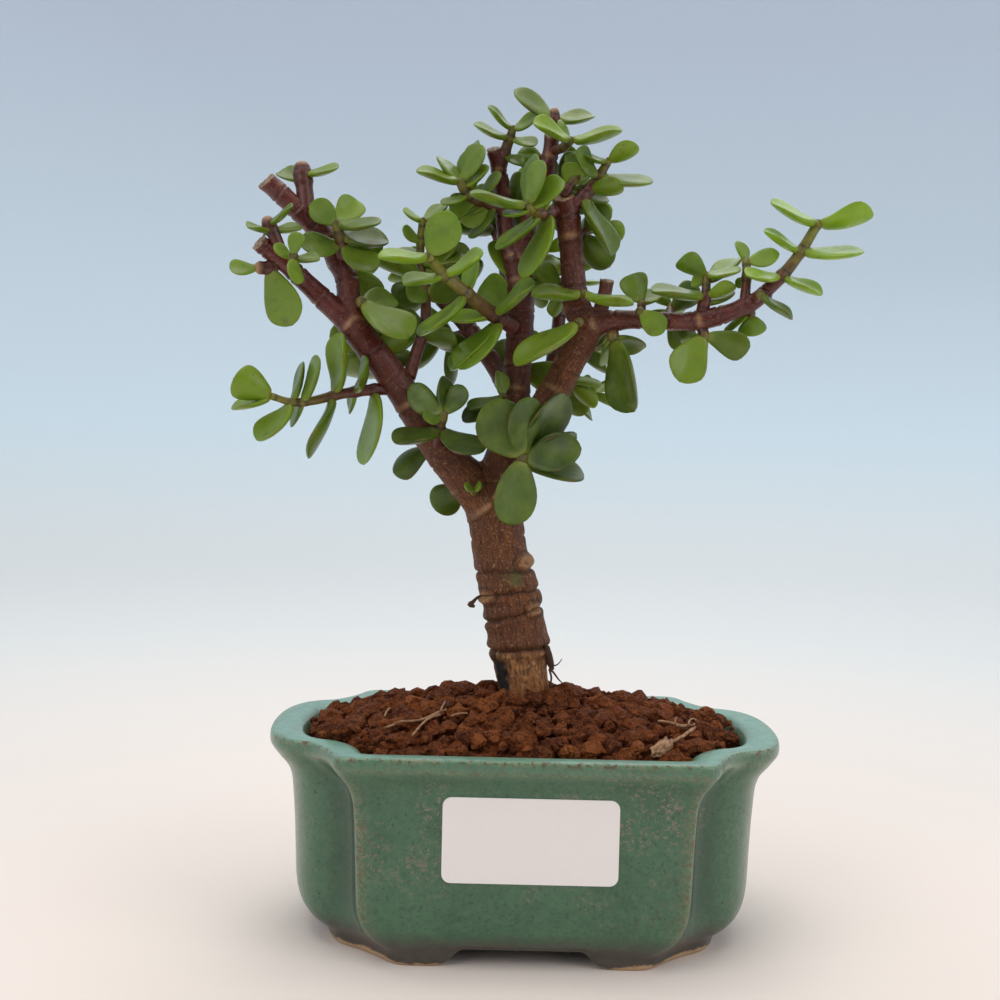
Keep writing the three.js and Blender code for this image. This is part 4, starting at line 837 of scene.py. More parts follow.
def carve_wood(piece):
    """Rings, scars, knots and rough bark, and the attributes that the bark's colours read."""
    names, facts = limb_facts()
    tree = KDTree(len(facts))
    for i, row in enumerate(facts):
        tree.insert(row[:3], i)
    tree.balance()
    mesh = piece.data
    count = len(mesh.vertices)
    spots, normals = np.zeros(3 * count), np.zeros(3 * count)
    mesh.vertices.foreach_get("co", spots)
    mesh.vertices.foreach_get("normal", normals)
    spots, normals = spots.reshape(-1, 3), normals.reshape(-1, 3)
    places = spots / MM
    nearest = [tree.find(place)[1] for place in places]
    middle, along, across, out, end, slant = (facts[nearest, 3 * i:3 * i + 3] for i in range(6))
    run, radius, youth = facts[nearest, 18:].T
    offset = places - middle
    here = run + dot(offset, along)
    angle = np.arctan2(dot(offset, out), dot(offset, across))
    grain = np.column_stack([np.cos(angle) * radius, np.sin(angle) * radius, here * GRAIN_SQUEEZE])
    past = dot(places - end, slant) + 0.6
    cut = np.array([names[i] in CUT_LIMBS for i in nearest]) & (past > -0.25)
    push, flat, bare, dark, crease, scar = (np.zeros(count) for _ in range(6))
    for i, place in enumerate(map(Vector, places)):
        name = names[nearest[i]]
        x, y, _ = grain[i]
        if name == "trunk" and place.z < TRUNK_TOP:
            push[i], crease[i], scar[i] = trunk_relief(place)
        elif not cut[i]:
            push[i], crease[i], scar[i] = limb_relief(name, place, here[i], angle[i])
        push[i] += 0.35 * noise.noise(place * 0.16) * radius[i] / 8
        old = max(0, 1 - youth[i] * 2.2)
        push[i] += old * 0.3 * noise.noise(Vector((x * 0.9, y * 0.9, here[i] * 0.12)))
        if name == "trunk":
            bare[i] = 1 / (1 + math.exp((place.z - OLD_WOOD_TOP) * 3))
            push[i] += bare[i] * (0.45 * noise.noise(Vector((x * 1.3, y * 1.3, here[i] * 0.3))) - 0.25)
        patch = place - DARK_PATCH
        hollow = 1 - Vector((patch.x, patch.y, patch.z * 0.55)).length / 5.2
        if hollow > 0:
            dark[i] = max(0, min(1, hollow * 2.2 + 0.6 * noise.noise(place * 0.5)))
            push[i] -= 0.9 * dark[i]
        if cut[i]:
            flat[i] = max(0, past[i]) + 0.35 * noise.noise(place * 0.9)
    move = np.where(cut[:, None], -slant * flat[:, None], normals * push[:, None])
    mesh.vertices.foreach_set("co", (spots + move * MM).ravel())
    named = {"youth": youth, "cut": cut.astype(float), "bare": bare, "dark": dark, "crease": crease,
             "scar": scar}
    for name, values in named.items():
        mesh.attributes.new(name, "FLOAT", "POINT").data.foreach_set("value", values)
    mesh.attributes.new("grain", "FLOAT_VECTOR", "POINT").data.foreach_set("vector", grain.ravel() * MM)
    mesh.update()


def bark_finish():
    finish, tree, shader = start_finish("bark", {"Specular IOR Level": 0.42})
    where = places_of(tree)
    grain = attribute(tree, "grain", "Vector")
    youth = attribute(tree, "youth")
    streak = mottle(tree, grain, 1500, 5, 0.7)
    broad = mottle(tree, where, 130, 4)
    brown = tinted(tree, span(tree, streak, 0.36, 0.66), (0.046, 0.0125, 0.0038), (0.25, 0.08, 0.02))
    brown = tinted(tree, span(tree, broad, 0.42, 0.66, 0, 0.7), brown, (0.1, 0.03, 0.012))
    # Younger skin is smooth and purple-brown, with a dusty pink bloom.
    purple = tinted(tree, span(tree, streak, 0.3, 0.7), (0.042, 0.0065, 0.006), (0.135, 0.022, 0.016))
    purple = tinted(tree, span(tree, broad, 0.5, 0.75, 0, 0.5), purple, (0.23, 0.075, 0.06))
    skin = tinted(tree, span(tree, youth, 0.3, 0.75), brown, purple)
    fleck = span(tree, mottle(tree, where, 1500, 2, 0.5), 0.6, 0.67, 0, 0.75)
    fleck = sums(tree, "MULTIPLY", fleck, span(tree, youth, 0.1, 0.8, 1, 0.35))
    skin = tinted(tree, fleck, skin, (0.36, 0.19, 0.085))
    # A little green alga grows on the trunk's middle.
    mossy = add(tree, "VectorMath", {0: where, 1: MOSSY_PLACE}, operation="DISTANCE").outputs["Value"]
    mossy = sums(tree, "ADD", mossy, span(tree, mottle(tree, where, 500, 4), 0.3, 0.7, -0.0015, 0.0015))
    skin = tinted(tree, span(tree, mossy, 0.001, 0.0034, 0.75, 0), skin, (0.11, 0.12, 0.035))
    # Leaf scars and knots are tan. The creases between the rings and round the knots get painted shade
    # further down.
    skin = tinted(tree, sums(tree, "MULTIPLY", attribute(tree, "scar"), span(tree, streak, 0.3, 0.6, 0.4, 1)),
                  skin, (0.48, 0.26, 0.125))
    # The trunk's foot has lost its bark: tan and grey wood with dark cracks.
    wood = tinted(tree, span(tree, streak, 0.36, 0.6), (0.065, 0.022, 0.007), (0.48, 0.215, 0.075))
    wood = tinted(tree, span(tree, mottle(tree, where, 330, 5, 0.65), 0.47, 0.62, 0, 0.75), wood,
                  (0.105, 0.036, 0.012))
    pale = span(tree, mottle(tree, where, 600, 4), 0.54, 0.68, 0, 0.7)
    wood = tinted(tree, pale, wood, (0.58, 0.31, 0.125))
    height = add(tree, "SeparateXYZ", {0: where}).outputs[2]
    rusty = tinted(tree, streak, wood, (0.5, 0.15, 0.05))
    wood = tinted(tree, span(tree, height, 0.067, 0.075, 0.55, 0), wood, rusty)
    skin = tinted(tree, attribute(tree, "bare"), skin, wood)
    # Painted shade: the creases between the rings and round the knots are darkened almost black.
    skin = tinted(tree, span(tree, attribute(tree, "crease"), 0.2, 0.9, 0, 0.9), skin, (0.018, 0.007, 0.004))
    # The hollow low on the trunk's left is coloured almost black.
    skin = tinted(tree, attribute(tree, "dark"), skin, (0.009, 0.006, 0.005))
    ends = tinted(tree, span(tree, mottle(tree, where, 900, 4), 0.35, 0.65),
                  (0.12, 0.06, 0.03), (0.42, 0.27, 0.15))
    paint(tree, shader, tinted(tree, attribute(tree, "cut"), skin, ends),
          span(tree, youth, 0.3, 0.8, 0.65, 0.24))
    rough = sums(tree, "ADD", streak, sums(tree, "MULTIPLY", mottle(tree, where, 2200, 4), 0.5))
    smooth = span(tree, youth, 0.2, 0.7, 1, 0.3)
    raised(tree, shader, sums(tree, "MULTIPLY", rough, smooth), 0.0006, 0.8)
    return finish


bark = bark_finish()
routes = [smooth_route(points, 1.0) for points in LIMBS.values()]
wood = fused("trunk_and_limbs_wood", tubes("wood_tubes", routes, 10), WOOD_GRAIN * MM, 4)
carve_wood(wood)
wood.data.materials.clear()
wood.data.materials.append(bark)
wood.data.shade_smooth()
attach(wood, "root")
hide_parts("trunk_and_limbs")

# ---------------------------------------------------------------- torn bark and dried twig
# A dark flap of bark has come loose at the right of the trunk's foot, with a few hairs of
# root, and a dried leaf stalk sticks out on the left.
TORN = {
    "flap": [(5.2, -3.4, 81.4, 0.5), (6, -3.6, 79.6, 1.1), (6.6, -3.4, 77.6, 1.2), (7.2, -3.2, 75.6, 1.0),
             (7.8, -3.2, 74, 0.5)],
    "hair_up": [(7, -3.6, 76, 0.3), (8.4, -4, 75.4, 0.22), (9.6, -4, 76.2, 0.15), (10.4, -4, 77.4, 0.1)],
    "hair_out": [(6.8, -4, 74.6, 0.35), (8.2, -4.4, 73.2, 0.3), (9.6, -4.6, 71.4, 0.22),
                 (10.8, -4.6, 70.4, 0.12)],
    "hair_down": [(6.8, -4.2, 74.4, 0.35), (7.4, -5, 72, 0.3), (7.2, -5.4, 69.6, 0.25),
                  (8.4, -5.6, 67, 0.15)],
    "stalk": [(-12.6, -2.5, 95.2, 0.5), (-14.4, -3.2, 94.6, 0.4), (-15.8, -3.8, 93.2, 0.6),
              (-16.6, -4.2, 92.6, 0.8), (-15.2, -4, 92, 0.4)],
}


def torn_finish():
    finish, tree, shader = start_finish("torn_bark", {"Roughness": 0.85})
    where = places_of(tree)
    colour = tinted(tree, mottle(tree, where, 600, 4), (0.022, 0.01, 0.006), (0.13, 0.055, 0.028))
    paint(tree, shader, colour)
    raised(tree, shader, mottle(tree, where, 1500, 4), 0.0004)
    return finish


torn = bpy.data.objects.new("torn_bark", tubes("torn", [smooth_route(r, 0.5) for r in TORN.values()], 4))
scene.collection.objects.link(torn)
torn.data.materials.clear()
torn.data.materials.append(torn_finish())
torn.data.shade_smooth()
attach(torn, "root")

# ---------------------------------------------------------------- dry roots and bark chip
# Old tan roots lie dried on the soil, with finer side roots, and a weathered chip of bark
# with one root curling from it.
DRY_ROOTS = [
    [(-38.8, -26.7, 60.9, 0.25), (-36.6, -25.4, 61.6, 0.35), (-34.4, -24.1, 62.1, 0.38),
     (-31.4, -24.1, 62.4, 0.4), (-27.6, -22.8, 63.1, 0.42), (-25, -20.5, 63.9, 0.36),
     (-22.3, -17.3, 64.6, 0.25)],
    [(-30.8, -32.3, 60.3, 0.22), (-29.6, -29.6, 61.3, 0.3), (-28.3, -26.3, 62.4, 0.32),
     (-26.8, -23.2, 63.2, 0.34), (-23.8, -21.6, 63.9, 0.28)],
    [(-39.5, -18, 62.5, 0.25), (-39.1, -14, 63, 0.3), (-38.4, -10.3, 63.2, 0.22)],
    [(-23.6, -19.7, 64.5, 0.22), (-23.5, -16.1, 65.2, 0.24), (-22.9, -11.6, 65.7, 0.16)],
    [(-20.7, -21.9, 63.7, 0.25), (-18.6, -20.7, 64.1, 0.28), (-16.2, -20.4, 64.2, 0.18)],
]
CHIP_ROOTS = [
    [(37, -18.7, 62.8, 0.3), (39.8, -18, 62.5, 0.4), (43.1, -18.9, 61.8, 0.5), (45.5, -17.5, 61.4, 0.45),
     (48.1, -14.4, 61.2, 0.3)],
    [(38.6, -31, 59.6, 0.45), (42.1, -27.3, 60.2, 0.42), (45.6, -21.2, 60.9, 0.42), (48.5, -15.3, 61, 0.32)],
    [(45.6, -19, 62, 0.25), (46.4, -14.1, 62.4, 0.28), (48, -10.8, 62.2, 0.28), (48.4, -13.6, 62, 0.25),
     (46.8, -18.7, 61.8, 0.22)],
    [(42.1, -21.3, 62.2, 0.3), (41.6, -18.7, 62.8, 0.25), (42.7, -14, 63.1, 0.16)],
]
ROUGH_SEED = 8  # without a seed, the noise's vectors follow the clock


def dry_finish():
    finish, tree, shader = start_finish("dry_wood", {"Roughness": 0.85, "Specular IOR Level": 0.25})
    where = places_of(tree)
    colour = tinted(tree, span(tree, mottle(tree, where, 500, 5, 0.7), 0.3, 0.7),
                    (0.2, 0.08, 0.035), (0.6, 0.37, 0.22))
    paint(tree, shader, colour)
    raised(tree, shader, mottle(tree, where, 1600, 4), 0.0005)
    return finish


def chip_lump(bm):
    """The chip: a ball squared off, flattened and roughened."""
    spots = bmesh.ops.create_icosphere(bm, subdivisions=4, radius=1)["verts"]
    for spot in spots:
        spot.co = Vector([math.copysign(abs(c) ** 0.75, c) for c in spot.co])
        spot.co *= 1 + 0.35 * noise.noise(spot.co * 2.6)
    size = Matrix.Diagonal((4.4, 1.8, 1.6, 1))
    turn = Matrix.Rotation(math.radians(55), 4, "Z") @ Matrix.Rotation(math.radians(-14), 4, "Y")
    place = Matrix.Translation((36.4 + POT_SHIFT, -34.6, 58.9)) @ turn
    bmesh.ops.transform(bm, matrix=Matrix.Scale(MM, 4) @ place @ size, verts=spots)


dry_wood = dry_finish()
noise.seed_set(ROUGH_SEED)
for name, node, routes in (("dry_roots", "dry_root", DRY_ROOTS), ("bark_chip_root", "bark_chip", CHIP_ROOTS)):
    bm = bmesh.new()
    bm.from_mesh(tubes(name, [smooth_route(route, 0.8) for route in routes], 4))
    if node == "bark_chip":
        chip_lump(bm)
    for spot in bm.verts:
        spot.co += Vector(noise.noise_vector(spot.co * 260)) * 0.35 * MM
    piece = make_piece(name, bm, dry_wood)
    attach(piece, "root")
    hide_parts(node)

# ---------------------------------------------------------------- leafy shoots
# Each shoot is a stem with its leaves in pairs, every pair across the last. The leaves are
# fleshy ovals on a short neck, glossy green above, with a thin reddish margin. A shoot is
# [radius at its root, radius at its tip, points along its stem, leaves], and a leaf
# [share of the stem where it sits, x, y, z from there to its tip, width, face]; face is 1
# where the blade faces the front, 0 edge on, and less than 0 where its underside does.
SHOOTS = {
    "left_end_shoot": [2, 1.7, [(-71, -13, 189.5), (-72.5, -14, 194.5), (-75, -14, 199.5)], [
        (0.75, -7.5, -3, -2, 6, 0.4), (0.75, 8, 3, 1.5, 6, 0.5),
        (0.92, 7, -5, 4.5, 7, 0.4), (0.92, -2.5, 5, -3.5, 5, 0.4)]],
    "left_outer_bud": [2, 1.6, [(-72, -13, 187), (-75, -14, 186.5), (-77, -15, 186.5)], [
        (1, -7.5, -3, -0.5, 6, 0.8), (0.5, 6, 2, -16, 12, 0.9)]],
    "left_front_bud": [1.6, 1.3, [(-68, -13, 188), (-66.5, -21, 189)], [
        (0.7, -5, -2, 3.5, 4, 0.8), (0.7, 7.5, -2, 0, 5, 0.6),
        (1, 1, -2, 6.5, 5, 0.8), (1, 1.5, -3, -7.5, 6, 0.6)]],
    "left_crown": [2.1, 1.3, [(-55, -5, 189.5), (-55, -8, 194), (-56, -12, 199.5)], [
        (0.45, -11, -6, 1, 9, 0.8), (0.45, 10.5, -5, -7, 9, 0.8),
        (0.7, 13.5, 5, 0, 10, 0.6), (0.7, -7, 10, -8, 10, 0.4),
        (1, -6.5, -4, 5, 7, 1), (1, 12.5, -5, 0, 9, 0.5),
        (0.93, 5, 6, 8.5, 8, 1), (0.93, -5.5, 8, 7, 8, 0.8)]],
    "left_cut_stub": [2.6, 2.4, [(-65.5, -3, 203), (-66.5, -2, 210.5), (-67.5, -1, 217)], [
        (0.85, 10.5, -4, 1.5, 7, 0.4), (0.7, -8.5, 4, 0.5, 7, 0.6)]],
    "left_inner_leaf": [1.7, 1.4, [(-51.5, -9, 177), (-48.5, -12, 178)], [
        (1, 14, -6, -9.5, 13, 0.7), (1, 8.5, 9, 2.5, 9, 0.8)]],
    "low_left_twig": [1.8, 0.9, [(-39, -7, 154), (-46, -9, 153.5), (-54.5, -11, 152),
                                 (-62, -12, 150), (-67.5, -13, 149.5), (-73, -14, 151)], [
        (1, -10, -5, 4.5, 10, -1), (1, -11, -2, -3.5, 8, 0.4),
        (0.83, 2, 3, 11.5, 8, 0.4), (0.83, -10, -2, -10.5, 10, 0.6),
        (0.75, 5, -6, 12, 10, 0.4), (0.75, -4.5, 6, -6, 7, 0.5),
        (0.5, 1.5, -3, 17.5, 12, 0.5), (0.5, -7, -3, -17.5, 13, 0.2),
        (0.33, 6.5, -6, 10, 9, 0.4), (0.33, -2.5, 6, -5, 6, 0.5),
        (0.17, -2.5, -5, -21, 15, 0.4), (0.2, 1.5, 6, 11.5, 9, 0.4)]],
    "limb_back_leaf": [1.5, 1.2, [(-40.5, -4, 158.5), (-39.5, 2, 160.5)], [
        (1, 2, 4, 5.5, 9, -1), (1, -17.5, 2, 10, 14, -0.4)]],
    "middle_stem": [2, 1, [(-35.5, -5, 157), (-33.5, 0, 165.5), (-31.5, 3, 173), (-32, 6, 183.5),
                           (-33.5, 8, 192), (-33.5, 6, 198.5), (-33, 5, 203)], [
        (1, -5.5, -3, 3, 5, 0.4), (1, 6.5, 4, 6, 7, 0.6),
        (0.88, -5, -4, 3.5, 5, 0.7), (0.88, 5.5, 5, 0.5, 5, 0.7),
        (0.76, -7, 6, 5, 7, 0.6), (0.76, 13.5, -3, 1, 10, 0.4),
        (0.68, -13, -4, 3.5, 10, -0.4), (0.68, 9, 7, 10, 11, 0.4),
        (0.62, -9, -3, -4, 7, 1), (0.62, -3.5, -7, -5, 7, 1),
        (0.3, 10.5, -5, -1.5, 8, -0.7), (0.3, -6.5, 3, 7, 7, 1),
        (0.36, 12, 6, -6.5, 10, -0.6)]],
    "front_shoot": [2.3, 1.2, [(-5.5, 1, 172.5), (-13.5, -6, 177), (-20.5, -12, 182),
                               (-26, -16, 186), (-29.5, -20, 190)], [
        (1, -13.5, -5, -0.5, 10, 0.4), (1, 6, -4, 11.5, 10, 1),
        (0.8, 10.5, -5, 6, 9, 0.4), (0.8, -11, -4, -3, 8, 0.5),
        (0.55, -14, -5, -10.5, 13, 0.3), (0.55, 1.5, 5, 9.5, 8, 0.5),
        (0.25, 11, -7, 8.5, 11, 0.3), (0.25, -12.5, 3, -1, 9, 0.4),
        (0.16, -11.5, -6, -14.5, 14, 0.6), (0.16, -15.5, 6, -12, 12, 0.4)]],
    "heart_cluster": [2, 1.4, [(-5, -5, 132.5), (-3, -11, 134), (-2.5, -17, 135.5)], [
        (1, -10, -4, 15, 14, 1), (1, -3.5, -2, -18.5, 13, 0.9),
        (0.9, 1, -5, 17, 12, 0.8), (0.9, 16, -3, 3.5, 12, 0.9),
        (0.6, 6.5, 3, 21.5, 16, 0.6), (0.6, 18, 5, -3, 13, 0.4),
        (0.4, 13, 8, 10, 13, 0.4)]],
    "limb_cluster": [1.8, 1.2, [(-27, -7, 138), (-26, -11, 143), (-25, -13, 147)], [
        (0.55, -14.5, -5, -1.5, 11, 0.4), (0.55, 12.5, -7, -5.5, 11, 0.6),
        (0.9, -5, -6, 0, 5, 0.8), (0.9, 1, 6, 11.5, 9, 0.6),
        (1, -9.5, -3, 7.5, 9, 0.8), (1, 5, 3, 8.5, 7, 0.9)]],
    "fork_leaf": [1.4, 1.1, [(-8.5, 0, 148.5), (-8.5, -6, 152.5)], [
        (1, -9.5, -5, -3.5, 8, 0.4), (1, -1, 3, 7.5, 6, 0.6),
        (0.7, -11.5, -1, -5.5, 9, 0.6)]],
    "fork_small_leaf": [1.2, 1, [(-15, -4, 124), (-16, -9, 125.5)], [
        (1, -2.5, -2, 2.5, 3, 0.6), (1, 2.5, -2, 2, 3, 0.6)]],
    "limb_under_leaf": [1.4, 1.1, [(-28.5, -1, 141), (-29, 5, 137)], [
        (1, -11, 2, -7.5, 9, -0.8), (1, 8, 6, -8, 9, 0.4)]],
    "fork_under_leaf": [1.4, 1.1, [(-19.5, 2, 128.5), (-20.5, 8, 126)], [
        (1, -7, 3, -7.5, 10, -1), (1, 7, 8, -3, 8, 0.5)]],
    "crown_left": [2.2, 1.3, [(-9, 8, 207), (-14, 6, 209), (-19.5, 3, 210.5), (-22, 1, 214)], [
        (1, -12.5, -4, 2.5, 9, 0.4), (1, 6, -3, 10, 8, 0.8),
        (0.9, -7, 6, 9.5, 9, 0.4), (0.9, 7, -3, 5.5, 7, 0.6),
        (0.75, -7.5, -4, -3.5, 6, 0.6), (0.75, 1, 6, 16.5, 12, 0.5),
        (0.55, -8, -1, -3.5, 7, 1), (0.55, 7.5, -1, 6.5, 7, 0.5),
        (0.3, -8, -2, -6, 8, 1), (0.3, -19.5, 5, -1.5, 14, 0.4),
        (0.22, -6, -5, -10, 9, 0.4)]],
    "crown_tip": [1.9, 1, [(-11, 9, 218.5), (-9, 9, 226), (-8, 8, 228.5), (-7.5, 7, 230.5)], [
        (1, -7, -3, 6, 7, 0.4), (1, 7, -3, 3.5, 6, 0.7),
        (0.8, -10.5, -3, 3.5, 8, 0.4), (0.8, 8, -1, -1.5, 6, 0.6),
        (0.4, 5.5, -5, -3.5, 5, 0.8)]],
    "crown_right_top": [2.1, 1.5, [(4, 2, 227.5), (4.5, 2, 234.5)], [
        (0.75, -13, 2, 4.5, 10, 0.6), (0.75, 11.5, 4, 2.5, 9, 0.6)]],
    "crown_front_top": [1.5, 1.1, [(4.5, 1, 223.5), (7, -4, 223.5), (9, -7, 225)], [
        (1, -10.5, -5, 4, 9, 0.5), (1, 14, -3, 3, 10, 0.4),
        (0.7, -1, 5, 7, 6, 0.6)]],
    "crown_back_leaf": [1.3, 1.1, [(3, 4, 221), (1.5, 9, 223)], [
        (1, -7.5, 2, 0.5, 7, -1), (1, 5.5, 4, -4.5, 6, -1)]],
    "riser_front": [1.9, 1.2, [(5.5, -11, 204.5), (0.5, -15, 203), (-3, -20, 204.5)], [
        (1, -15.5, -4, 2.5, 11, 0.3), (1, 3.5, -2, 12, 9, 0.6),
        (0.9, 0, 6, 15, 11, 0.4), (0.85, -7.5, -4, -2.5, 6, 0.4),
        (0.85, 8.5, -4, 7, 8, 0.7), (0.45, -12.5, -1, -10, 11, 0.3),
        (0.45, 5, 3, 7.5, 7, 0.5), (0.2, -7, -4, -18.5, 14, 0.4)]],
    "riser_top": [1.5, 1, [(7, -10, 208.5), (9, -10, 212), (11, -10, 214)], [
        (0.8, 0.5, 4, 9, 7, 1), (0.8, 7.5, 6, 5, 8, 0.4),
        (0.4, -2, 3, 6.5, 7, 1)]],
    "riser_right": [2.1, 1, [(9.5, -10, 205.5), (14.5, -9, 211), (17.5, -9, 215.5), (19.5, -9, 219)], [
        (1, -6.5, -2, 6, 6, 0.4), (1, 8, -3, 4, 7, -0.7),
        (0.7, -8, -4, 7, 8, 0.7), (0.7, 15, -3, -1.5, 11, 0.5),
        (0.45, 9, -5, 0.5, 7, -0.6), (0.45, -5, 5, 6, 6, 0.8),
        (0.3, 8.5, -4, -16.5, 13, 0.5), (0.3, 7, 5, 1, 7, 0.8)]],
    "riser_left_leaf": [1.4, 1.1, [(8.5, -7, 183), (7.5, -3, 184)], [
        (1, -7.5, 3, 6.5, 7, -0.9), (1, -2, 3, -8, 6, -0.8)]],
    "riser_low_front": [1.3, 1.1, [(11.5, -10, 181), (13, -15, 181.5)], [
        (1, 14, -3, -2.5, 10, 0.2), (1, -11.5, 8, 3, 10, 0.4)]],
    "right_knee_leaf": [1.5, 1.2, [(14, -11, 173), (12, -16, 173.5)], [
        (1, -17.5, -4, -12, 15, 0.4)]],
    "limb_back_right": [1.6, 1.2, [(8.5, -4, 158.5), (10.5, 2, 158), (12, 6, 157)], [
        (1, 7, 2, -6.5, 7, -0.6), (0.8, 9, 4, 0, 7, -0.4)]],
    "branch_leaf_up": [1.3, 1.1, [(30, -10, 175.5), (30, -9, 179.5)], [
        (1, -3, 2, 8.5, 8, 1), (1, 4.5, 6, 4.5, 6, 0.8)]],
    "branch_leaf_front": [1.3, 1.1, [(29.5, -11, 175.5), (29, -15, 177)], [
        (1, 6.5, -2, -6, 7, 1)]],
    "branch_hanging": [1.8, 1.5, [(22, -9, 173.5), (22, -11, 169.5)], [
        (1, 5.5, -4, -20.5, 16, 0.5), (1, 9, 5, -3, 8, 0.6),
        (0.85, -6.5, 7, -5.5, 8, 0.4)]],
    "branch_mid_up": [1.8, 1, [(46.5, -13, 177), (47.5, -13, 182), (47.5, -12, 187.5)], [
        (1, -8, -4, 4, 7, -0.8), (1, 9.5, -4, 0.5, 7, 0.4),
        (0.85, 11, 5, 7.5, 10, 0.4), (0.85, -3.5, 5, 0.5, 4, 1),
        (0.45, -15.5, -4, 1, 11, 0.3), (0.45, 7.5, -4, 3, 6, -0.6),
        (0.25, 10, 6, 1.5, 8, 0.4)]],
    "branch_mid_down": [1.6, 1.2, [(46.5, -13, 173), (47.5, -14, 170.5)], [
        (0.9, -7, -4, -13, 11, 1), (1, 12, -3, -3, 9, 0.8),
        (0.9, -5.5, 7, -2, 6, 0.6)]],
    "branch_far_up": [1.5, 1.1, [(58, -15, 180), (58.5, -14, 186.5), (58.5, -13, 191.5)], [
        (1, 8.5, -3, 2, 6, 0.9), (1, -3, 5, 4.5, 5, 0.6),
        (0.6, -3, 3, -0.5, 3, 1)]],
    "branch_far_front": [1.3, 1.1, [(60.5, -16.5, 180.5), (61.5, -20, 182)], [
        (1, 9, -1, -6.5, 8, 0.4)]],
    "branch_far_down": [1.3, 1.1, [(59.5, -14, 179), (60.5, -12, 177)], [
        (1, 1, 1, -6, 8, -1), (1, -7.5, 3, -4, 6, -0.2)]],
    "branch_tip": [2, 1.3, [(63.5, -16, 183), (68, -16, 187.5), (72.5, -16, 193.5), (77.5, -15, 202)], [
        (1, -13.5, -3, 5.5, 10, 0.4), (1, 14.5, -3, 3, 11, -0.4),
        (0.62, -10.5, -2, 5.5, 8, 0.4), (0.62, 16.5, -4, 0, 12, 0.4),
        (0.27, -10.5, -3, 3.5, 8, 0.4), (0.27, 10.5, -4, -5, 9, 0.4)]],
}
# The shoots behind follow a rule: [radius at the root, radius at the tip, points along the
# stem, pairs, longest leaf, first turn].
RULED_SHOOTS = {
    "back_left_end": [2, 1.2, [(-27.5, 25, 182), (-32.5, 29, 186), (-36.5, 31, 192)], 4, 14, 20],
    "back_left_low": [1.8, 1.1, [(-18.5, 18, 172), (-27.5, 21, 170), (-35.5, 24, 171)], 4, 14, 70],
    "back_left_up": [1.7, 1.1, [(-21.5, 20, 176), (-21.5, 24, 184), (-23.5, 28, 190)], 3, 13, 45],
    "back_right_end": [2, 1.2, [(8.5, 31, 178), (10.5, 33, 186), (13.5, 33, 193)], 4, 14, 30],
    "back_right_out": [1.8, 1.1, [(6.5, 26, 164), (14.5, 28, 167), (22.5, 29, 170)], 4, 14, 60],
    "back_right_low": [1.8, 1.1, [(3.5, 18, 152), (10.5, 21, 152), (18.5, 22, 155)], 3, 14, 10],
    "back_middle_end": [1.8, 1.1, [(-10.5, 27, 200), (-12.5, 30, 206), (-14.5, 31, 212)], 4, 13, 15],
    "back_middle_right": [1.7, 1.1, [(-7, 20, 187), (-1.5, 24, 192), (3.5, 26, 198)], 4, 13, 50],
    "back_middle_low": [1.8, 1.1, [(-4.5, 7, 160), (-3.5, 15, 162), (-3.5, 23, 166)], 3, 14, 35],
    "leader_back": [1.8, 1.1, [(-9, 9, 205), (-7.5, 15, 209), (-5.5, 20, 215)], 4, 12, 25],
    "crown_back_right": [1.7, 1.1, [(1.5, 4, 213), (6.5, 9, 216), (10.5, 13, 221)], 4, 12, 40],
    "riser_back": [1.8, 1.1, [(9.5, -8, 198), (13.5, -1, 200), (17.5, 5, 203)], 4, 13, 20],
    "limb_back": [1.8, 1.1, [(-45.5, -7, 164), (-46.5, 1, 166), (-47.5, 9, 170)], 4, 14, 30],
    "left_leader_back": [1.8, 1.1, [(-54.5, -5, 187), (-53.5, 3, 190), (-52.5, 10, 195)], 4, 13, 55],
    "branch_back": [1.7, 1.1, [(37.5, -12, 175), (38.5, -6, 177), (39.5, 1, 180)], 3, 13, 50],
}
# More leaves that sit straight on the wood, with the shoot they belong to:
# [place of the base, x, y, z from there to the tip, width, face].
LIMB_LEAVES = {
    "front_shoot": [((-4.5, 6.5, 186), (-7, 3, 13), 10, 0.9), ((-5, 5.5, 175), (-10, 5, 12), 12, 0.85)],
    "middle_stem": [((-33, 8, 193), (14, 8, 2), 9, 0.9), ((-32, 5, 181), (10, 6, 6), 9, 0.8)],
    "riser_left_leaf": [((-2.5, 5, 184), (11, -2, 2.5), 8, 0.5), ((-2.5, 6, 188), (9, 4, 6), 8, 0.7)],
}
# How young each shoot is: its leaves are paler and its stem is green. The shoots in the shade under the crown
# are set near 0, so add_leaf also paints their leaves darker as painted shade.
SHOOT_YOUTH = {"front_shoot": 0.6, "branch_tip": 0.8, "riser_front": 0.35, "low_left_twig": 0.25,
               "crown_front_top": 0.4, "branch_far_up": 0.35, "heart_cluster": 0, "limb_cluster": 0.05,
               "fork_leaf": 0, "limb_under_leaf": 0, "fork_under_leaf": 0}

# The rule that places the leaves. It is the one that the solids follow, draw for draw.
OLD_SPREAD, YOUNG_SPREAD = 82, 48
CUP = 0.05  # how far a blade bows below its chord, as a share of its length
BUD = 1.4  # the stem's end past its last leaves
LEAST_GAP = 0.5
OUTLINE = ((0, 0.4, 0.82, 1), (0.1, 0.38, 0.46, 0.05))  # half width at shares of the length
rule_seed = 4711


def rule_draw(low, high):
    global rule_seed
    rule_seed = rule_seed * 16807 % 2147483647
    return low + (high - low) * rule_seed / 2147483647


def square_to(axis, direction):
    return unit(direction - axis * (axis @ direction))


def rotated(v, axis, angle):
    cos, sin = math.cos(angle), math.sin(angle)
    return v * cos + np.cross(axis, v) * sin + axis * (axis @ v) * (1 - cos)


def blade(root, axis, normal, length, width, stem_radius):
    thick = min(2, max(1.2, 0.13 * length))
    return {"root": root, "axis": axis, "normal": normal, "across": np.cross(normal, axis),
            "length": length, "width": width, "thick": thick, "stem_radius": stem_radius}


